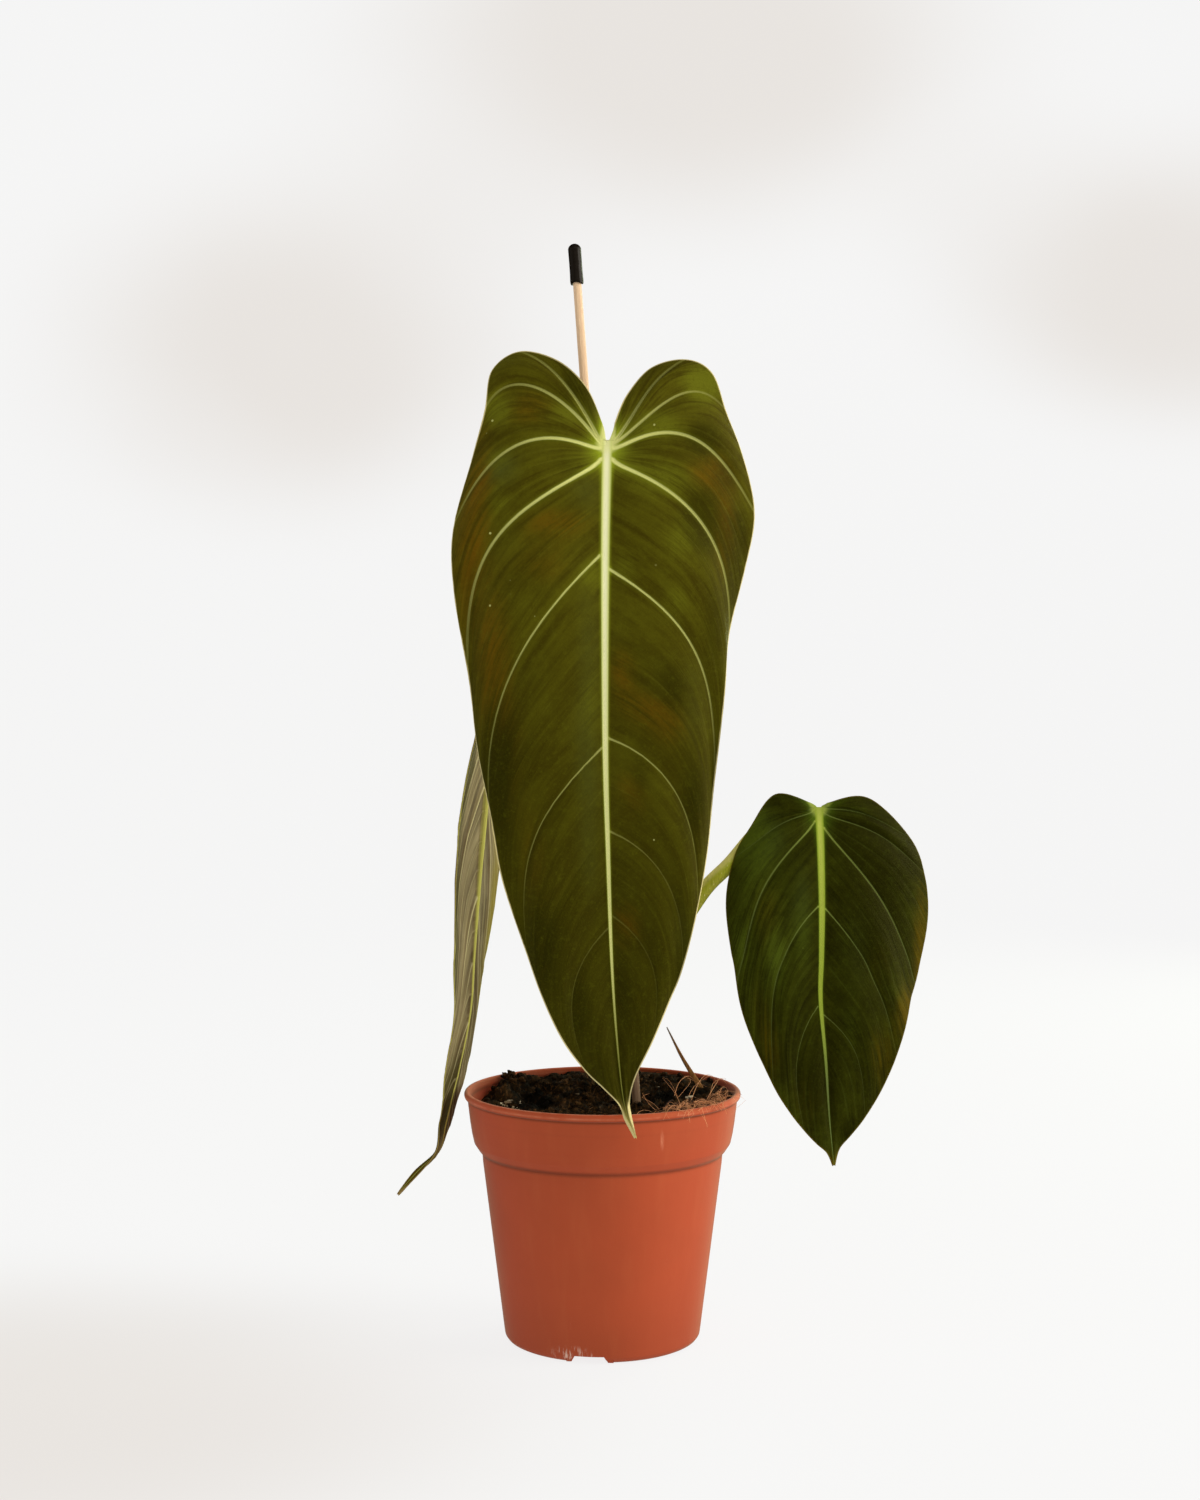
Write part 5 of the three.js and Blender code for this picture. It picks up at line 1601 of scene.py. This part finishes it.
    def build(self, name, thickness, rib_height):
        """The blade as one closed mesh with its measures as attributes."""
        leaf = self.leaf
        rows = self.stations()
        columns = self.columns()
        trees = self.trees()
        found = []
        top = []
        under = []
        lines = []
        for r in rows:
            both = {side: self.line(side, r) for side in (-1, 1)}
            feet = {
                side: line_point(row, self.half(row), 0, leaf["join"])[1] for side, row in both.items()}
            middle = (feet[-1] + feet[1]) / 2
            swell = self.bulge(r)
            for side, t, fraction in columns:
                row = both[side]
                half = self.half(row)
                line = r + (self.RIGHT_LINES if side > 0 else 0)
                if t is None:
                    u = half * fraction
                    notch = self.NOTCH * (1 - fraction ** 2) * max(1 - r, 0)
                    v = middle + (feet[side] - middle) * fraction + notch
                    t = 0.0
                    lines.append((line, -0.05 * (1 - fraction)))
                else:
                    u, v = line_point(row, half, t, leaf["join"])
                    lines.append((line, t))
                values, away, along, strength = self.distances(side, u, v, trees[side])
                found.append(values)
                margin = values["margin"]
                ridge_half = self.across_midrib(leaf["midrib_width"], v) / 2
                roll = math.sqrt(max(1 - (u / (ridge_half + 0.4)) ** 2, 0))
                depth = self.across_midrib(leaf["midrib_depth"], v) * roll
                cord = rib_height * strength * (1 - 0.85 * along)
                cord *= math.sqrt(max(1 - (away / self.RIB_REACH) ** 2, 0))
                lift = leaf["quilt"] * swell * math.sin(math.pi * t ** 0.8)
                lift += leaf["wave"] * t ** 3 * math.sin(math.tau * r / leaf["wave_rows"] + side)
                sunk = 0.14 * math.exp(-((away / 0.6) ** 2)) * strength
                wrinkle = 0.1 * math.exp(-(values["minor"] ** 2)) * min(margin / 3, 1)
                closing = math.sqrt(1 - (1 - min(margin / self.MARGIN_REACH, 1)) ** 2)
                tip_end = min(max(v / self.length - 0.8, 0) * 6, 1)
                body = thickness * (0.5 - 0.18 * t) * (1 - 0.6 * tip_end)
                point, normal = self.place(side * u if u else 0.0, v)
                top.append(point + normal * (lift + closing * (body - sunk - wrinkle + 0.3 * roll * roll)))
                under.append(point + normal * (lift - closing * (body + max(depth, cord) + wrinkle)))
        return self.shell(name, top, under, lines, found, len(rows), len(columns))

    @staticmethod
    def shell(name, top, under, lines, found, rows, columns):
        """Joins the two faces at the border, where each pair of points becomes one."""
        points = list(top)
        below = []
        source = list(range(len(top)))
        for i in range(rows):
            for j in range(columns):
                number = i * columns + j
                if i in (0, rows - 1) or j in (0, columns - 1):
                    points[number] = (top[number] + under[number]) / 2
                    below.append(number)
                else:
                    below.append(len(points))
                    points.append(under[number])
                    source.append(number)
        faces = []
        for i in range(rows - 1):
            for j in range(columns - 1):
                a = i * columns + j
                ring = (a, a + columns, a + columns + 1, a + 1)
                faces.append(ring)
                faces.append(tuple(below[k] for k in reversed(ring)))
        piece = mesh_piece(name, points, faces)
        mesh = piece.data
        if len(mesh.vertices) != len(points) or len(mesh.polygons) != len(faces):
            raise RuntimeError(f"{name} lost points or faces")
        for key in found[0]:
            measure(piece, key, [found[k][key] for k in source])
        layer = mesh.uv_layers.new(name="lines")
        layer.data.foreach_set("uv", [c for loop in mesh.loops for c in lines[source[loop.vertex_index]]])
        mesh.polygons.foreach_set("material_index", [k % 2 for k in range(len(faces))])
        mesh.polygons.foreach_set("use_smooth", [True] * len(faces))
        return piece


def blade_tones():
    """The colours of each blade's upper side, and the heights in metres where they change."""
    look = settings("leaf")
    large = {
        "main": look.large, "deep": srgb(62, 54, 5), "fresh": srgb(92, 90, 16), "sage_sheen": srgb(78, 80, 26),
        "green": srgb(100, 102, 20), "bronze": look.bronze, "dark_and_shade": srgb(42, 39, 3),
        "fine": srgb(104, 104, 28), "minor": 0.22, "glow": srgb(146, 160, 36), "vein": look.vein,
        "far": srgb(128, 126, 52), "midrib": srgb(246, 246, 196), "midrib_low": srgb(206, 206, 130),
        "midrib_side": srgb(204, 212, 116), "midrib_fades": ((0.18, 0.36), (0.125, 0.19)),
        "margin": srgb(216, 202, 142),
        # low: below this height, and fading out over 0.27 m above it, the blade gets painted shade
        "edge": 0.9, "rough": 0.46, "low": 0.1, "tip": 0.103, "tip_tone": srgb(196, 180, 96)}
    right = dict(
        large, main=look.right, deep=srgb(28, 28, 2), fresh=srgb(64, 70, 10), sage_sheen=srgb(58, 68, 22),
        green=srgb(68, 80, 18), bronze=srgb(84, 66, 4), dark_and_shade=srgb(26, 25, 1), fine=srgb(66, 76, 24),
        glow=srgb(70, 92, 16), vein=srgb(156, 170, 70), far=srgb(92, 104, 62), midrib=look.lime,
        midrib_low=srgb(148, 164, 58), midrib_side=srgb(136, 158, 44),
        midrib_fades=((0.15, 0.235), (0.105, 0.15)), margin=srgb(116, 98, 26), edge=0.5, rough=0.4,
        low=-0.2, tip=0.07, tip_tone=srgb(110, 104, 24))
    left = dict(large, main=srgb(62, 66, 16), low=-0.2, tip=0.0, margin=srgb(158, 132, 80))
    return {"large": large, "left": left, "right": right}


def make_leaves():
    look = settings("leaf")
    tones = blade_tones()
    under = {
        "main": look.under, "shade": srgb(90, 76, 50), "pale": srgb(164, 150, 118),
        "olive": srgb(126, 112, 34), "dark_and_shade": srgb(66, 60, 26), "vein": srgb(186, 176, 128),
        "midrib": srgb(178, 174, 84)}
    leaves = {
        "large": Blade(LARGE_LEAF, LARGE_PATCHES), "left": Blade(LEFT_LEAF, LEFT_PATCHES),
        "right": Blade(RIGHT_LEAF, RIGHT_PATCHES)}
    for side, leaf in leaves.items():
        blade = leaf.build(f"blade_{side}", look.thickness / MM, look.rib_height / MM)
        blade.data.materials.append(blade_finish(f"{side}_leaf", tones[side]))
        blade.data.materials.append(under_finish(f"{side}_leaf_under", under))
        attach(blade, None, f"{side}_leaf", f"leaf_{side}")


# Stage
def soft_light(name, power, size, location, height, colour=WARM_LIGHT):
    """A soft lamp that faces a height on the plant's axis."""
    lamp = bpy.data.lights.new(name, "AREA")
    lamp.energy = power
    lamp.color = colour
    lamp.shape = "RECTANGLE"
    lamp.size, lamp.size_y = size
    light = new_object(name, lamp)
    light.location = location
    aim = Vector((0, 0, height)) - Vector(location)
    light.rotation_euler = aim.to_track_quat("-Z", "Y").to_euler()
    light.visible_camera = False


def make_backdrop():
    """A floor that curves up into a wall behind, and a wide disc round it."""
    floor = end(begin("plane", "floor_and_backdrop", size=7, location=(0, -1.9, 0)))
    bpy.ops.object.mode_set(mode="EDIT")
    bpy.ops.mesh.select_all(action="DESELECT")
    bpy.ops.object.mode_set(mode="OBJECT")
    for vertex in floor.data.vertices:
        vertex.select = vertex.co.y > 0
    bpy.ops.object.mode_set(mode="EDIT")
    moves = []
    for k in range(COVE_STEPS):
        turn = math.radians(90) * (k + 0.5) / COVE_STEPS
        moves.append((0, COVE_STEP * math.cos(turn), COVE_STEP * math.sin(turn)))
    for move in (*moves, (0, 0, WALL_HEIGHT)):
        bpy.ops.mesh.extrude_region_move(TRANSFORM_OT_translate={"value": move})
    end(floor)
    surround = turned("surround", SURROUND, steps=64)
    surround.visible_diffuse = False
    surround.visible_shadow = False
    surround.visible_transmission = False
    paper = backdrop_finish()
    for part in (floor, surround):
        smooth(part, 60)
        part.data.materials.append(paper)
        part.visible_glossy = False


def make_stage():
    look = settings("stage")
    scene = bpy.context.scene
    make_backdrop()
    soft_light("key_light", look.key_power, (1.1, 1.5), (1.6, -0.3, 0.75), 0.24)
    soft_light("fill_light", look.fill_power, (1.5, 1.5), (-1.7, -0.5, 0.6), 0.24)
    soft_light("front_light", look.front_power, (1.6, 1.0), (0.2, -1.7, 1.5), 0.2)
    soft_light("rim_light", look.rim_power, (0.5, 1.2), (1.0, 1.0, 0.5), 0.15, RIM_LIGHT)
    world = bpy.data.worlds.new("surroundings")
    world.use_nodes = True
    background = world.node_tree.nodes["Background"]
    background.inputs["Color"].default_value = (1, 0.97, 0.92, 1)
    background.inputs["Strength"].default_value = look.sky
    world.cycles_visibility.glossy = False
    scene.world = world
    scene.view_settings.view_transform = "Standard"
    lens = bpy.data.cameras.new("camera")
    lens.lens = LENS
    lens.sensor_width = 36
    camera = new_object("camera", lens)
    camera.location = CAMERA_PLACE
    camera.rotation_euler = (math.pi / 2 - CAMERA_TILT, 0, 0)
    scene.camera = camera


# Operators
class PHILODENDRON_OT_pot(bpy.types.Operator):
    """Turn the nursery pot and cut its drainage channels and holes"""
    bl_idname = "philodendron.pot"
    bl_label = "Nursery pot"

    def execute(self, context):
        make_pot()
        return {"FINISHED"}


class PHILODENDRON_OT_soil(bpy.types.Operator):
    """Fill the pot with peat, crumbs, chips and loose fibres"""
    bl_idname = "philodendron.soil"
    bl_label = "Peat soil"

    def execute(self, context):
        make_soil_body()
        make_crumbs()
        make_loose_fibres()
        return {"FINISHED"}


class PHILODENDRON_OT_tuft(bpy.types.Operator):
    """Lay the tuft of coir by the right wall"""
    bl_idname = "philodendron.tuft"
    bl_label = "Coir tuft"

    def execute(self, context):
        make_tuft()
        return {"FINISHED"}


class PHILODENDRON_OT_support(bpy.types.Operator):
    """Make the bamboo stake, its dipped tip and the garden tie"""
    bl_idname = "philodendron.support"
    bl_label = "Stake and tie"

    def execute(self, context):
        make_stake()
        make_tip()
        make_tie()
        return {"FINISHED"}


class PHILODENDRON_OT_stem(bpy.types.Operator):
    """Make the climbing stem, its aerial roots and both sheaths"""
    bl_idname = "philodendron.stem"
    bl_label = "Stem and sheaths"

    def execute(self, context):
        make_stem()
        make_sheaths()
        return {"FINISHED"}


class PHILODENDRON_OT_stalks(bpy.types.Operator):
    """Make the three leaf stalks"""
    bl_idname = "philodendron.stalks"
    bl_label = "Leaf stalks"

    def execute(self, context):
        make_stalks()
        return {"FINISHED"}


class PHILODENDRON_OT_leaves(bpy.types.Operator):
    """Make the three velvet blades with their veins"""
    bl_idname = "philodendron.leaves"
    bl_label = "Leaf blades"

    def execute(self, context):
        make_leaves()
        return {"FINISHED"}


class PHILODENDRON_OT_stage(bpy.types.Operator):
    """Set up the floor, backdrop, soft lights and camera"""
    bl_idname = "philodendron.stage"
    bl_label = "Stage"

    def execute(self, context):
        make_stage()
        return {"FINISHED"}


OPERATORS = (
    PHILODENDRON_OT_stage, PHILODENDRON_OT_pot, PHILODENDRON_OT_soil, PHILODENDRON_OT_tuft,
    PHILODENDRON_OT_support, PHILODENDRON_OT_stem, PHILODENDRON_OT_stalks, PHILODENDRON_OT_leaves,
)


class PHILODENDRON_PT_panel(bpy.types.Panel):
    """Lists the settings and the makers of each piece"""
    bl_idname = "PHILODENDRON_PT_panel"
    bl_label = "Potted philodendron"
    bl_space_type = "VIEW_3D"
    bl_region_type = "UI"
    bl_category = "Philodendron"

    def draw(self, context):
        for operator in OPERATORS:
            self.layout.operator(operator.bl_idname)
        for group, kind in SETTINGS.items():
            box = self.layout.box()
            box.label(text=group.title())
            for name in kind.__annotations__:
                box.prop(settings(group), name)


CLASSES = (*SETTINGS.values(), *OPERATORS, PHILODENDRON_PT_panel)


def register():
    for kind in CLASSES:
        bpy.utils.register_class(kind)
    for group, kind in SETTINGS.items():
        setattr(bpy.types.Scene, "philodendron_" + group, bpy.props.PointerProperty(type=kind))


def unregister():
    for group in SETTINGS:
        delattr(bpy.types.Scene, "philodendron_" + group)
    for kind in reversed(CLASSES):
        bpy.utils.unregister_class(kind)


def main():
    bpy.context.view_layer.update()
    register()
    for operator in OPERATORS:
        family, name = operator.bl_idname.split(".")
        getattr(getattr(bpy.ops, family), name)()
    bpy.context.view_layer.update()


if __name__ == "__main__":
    main()
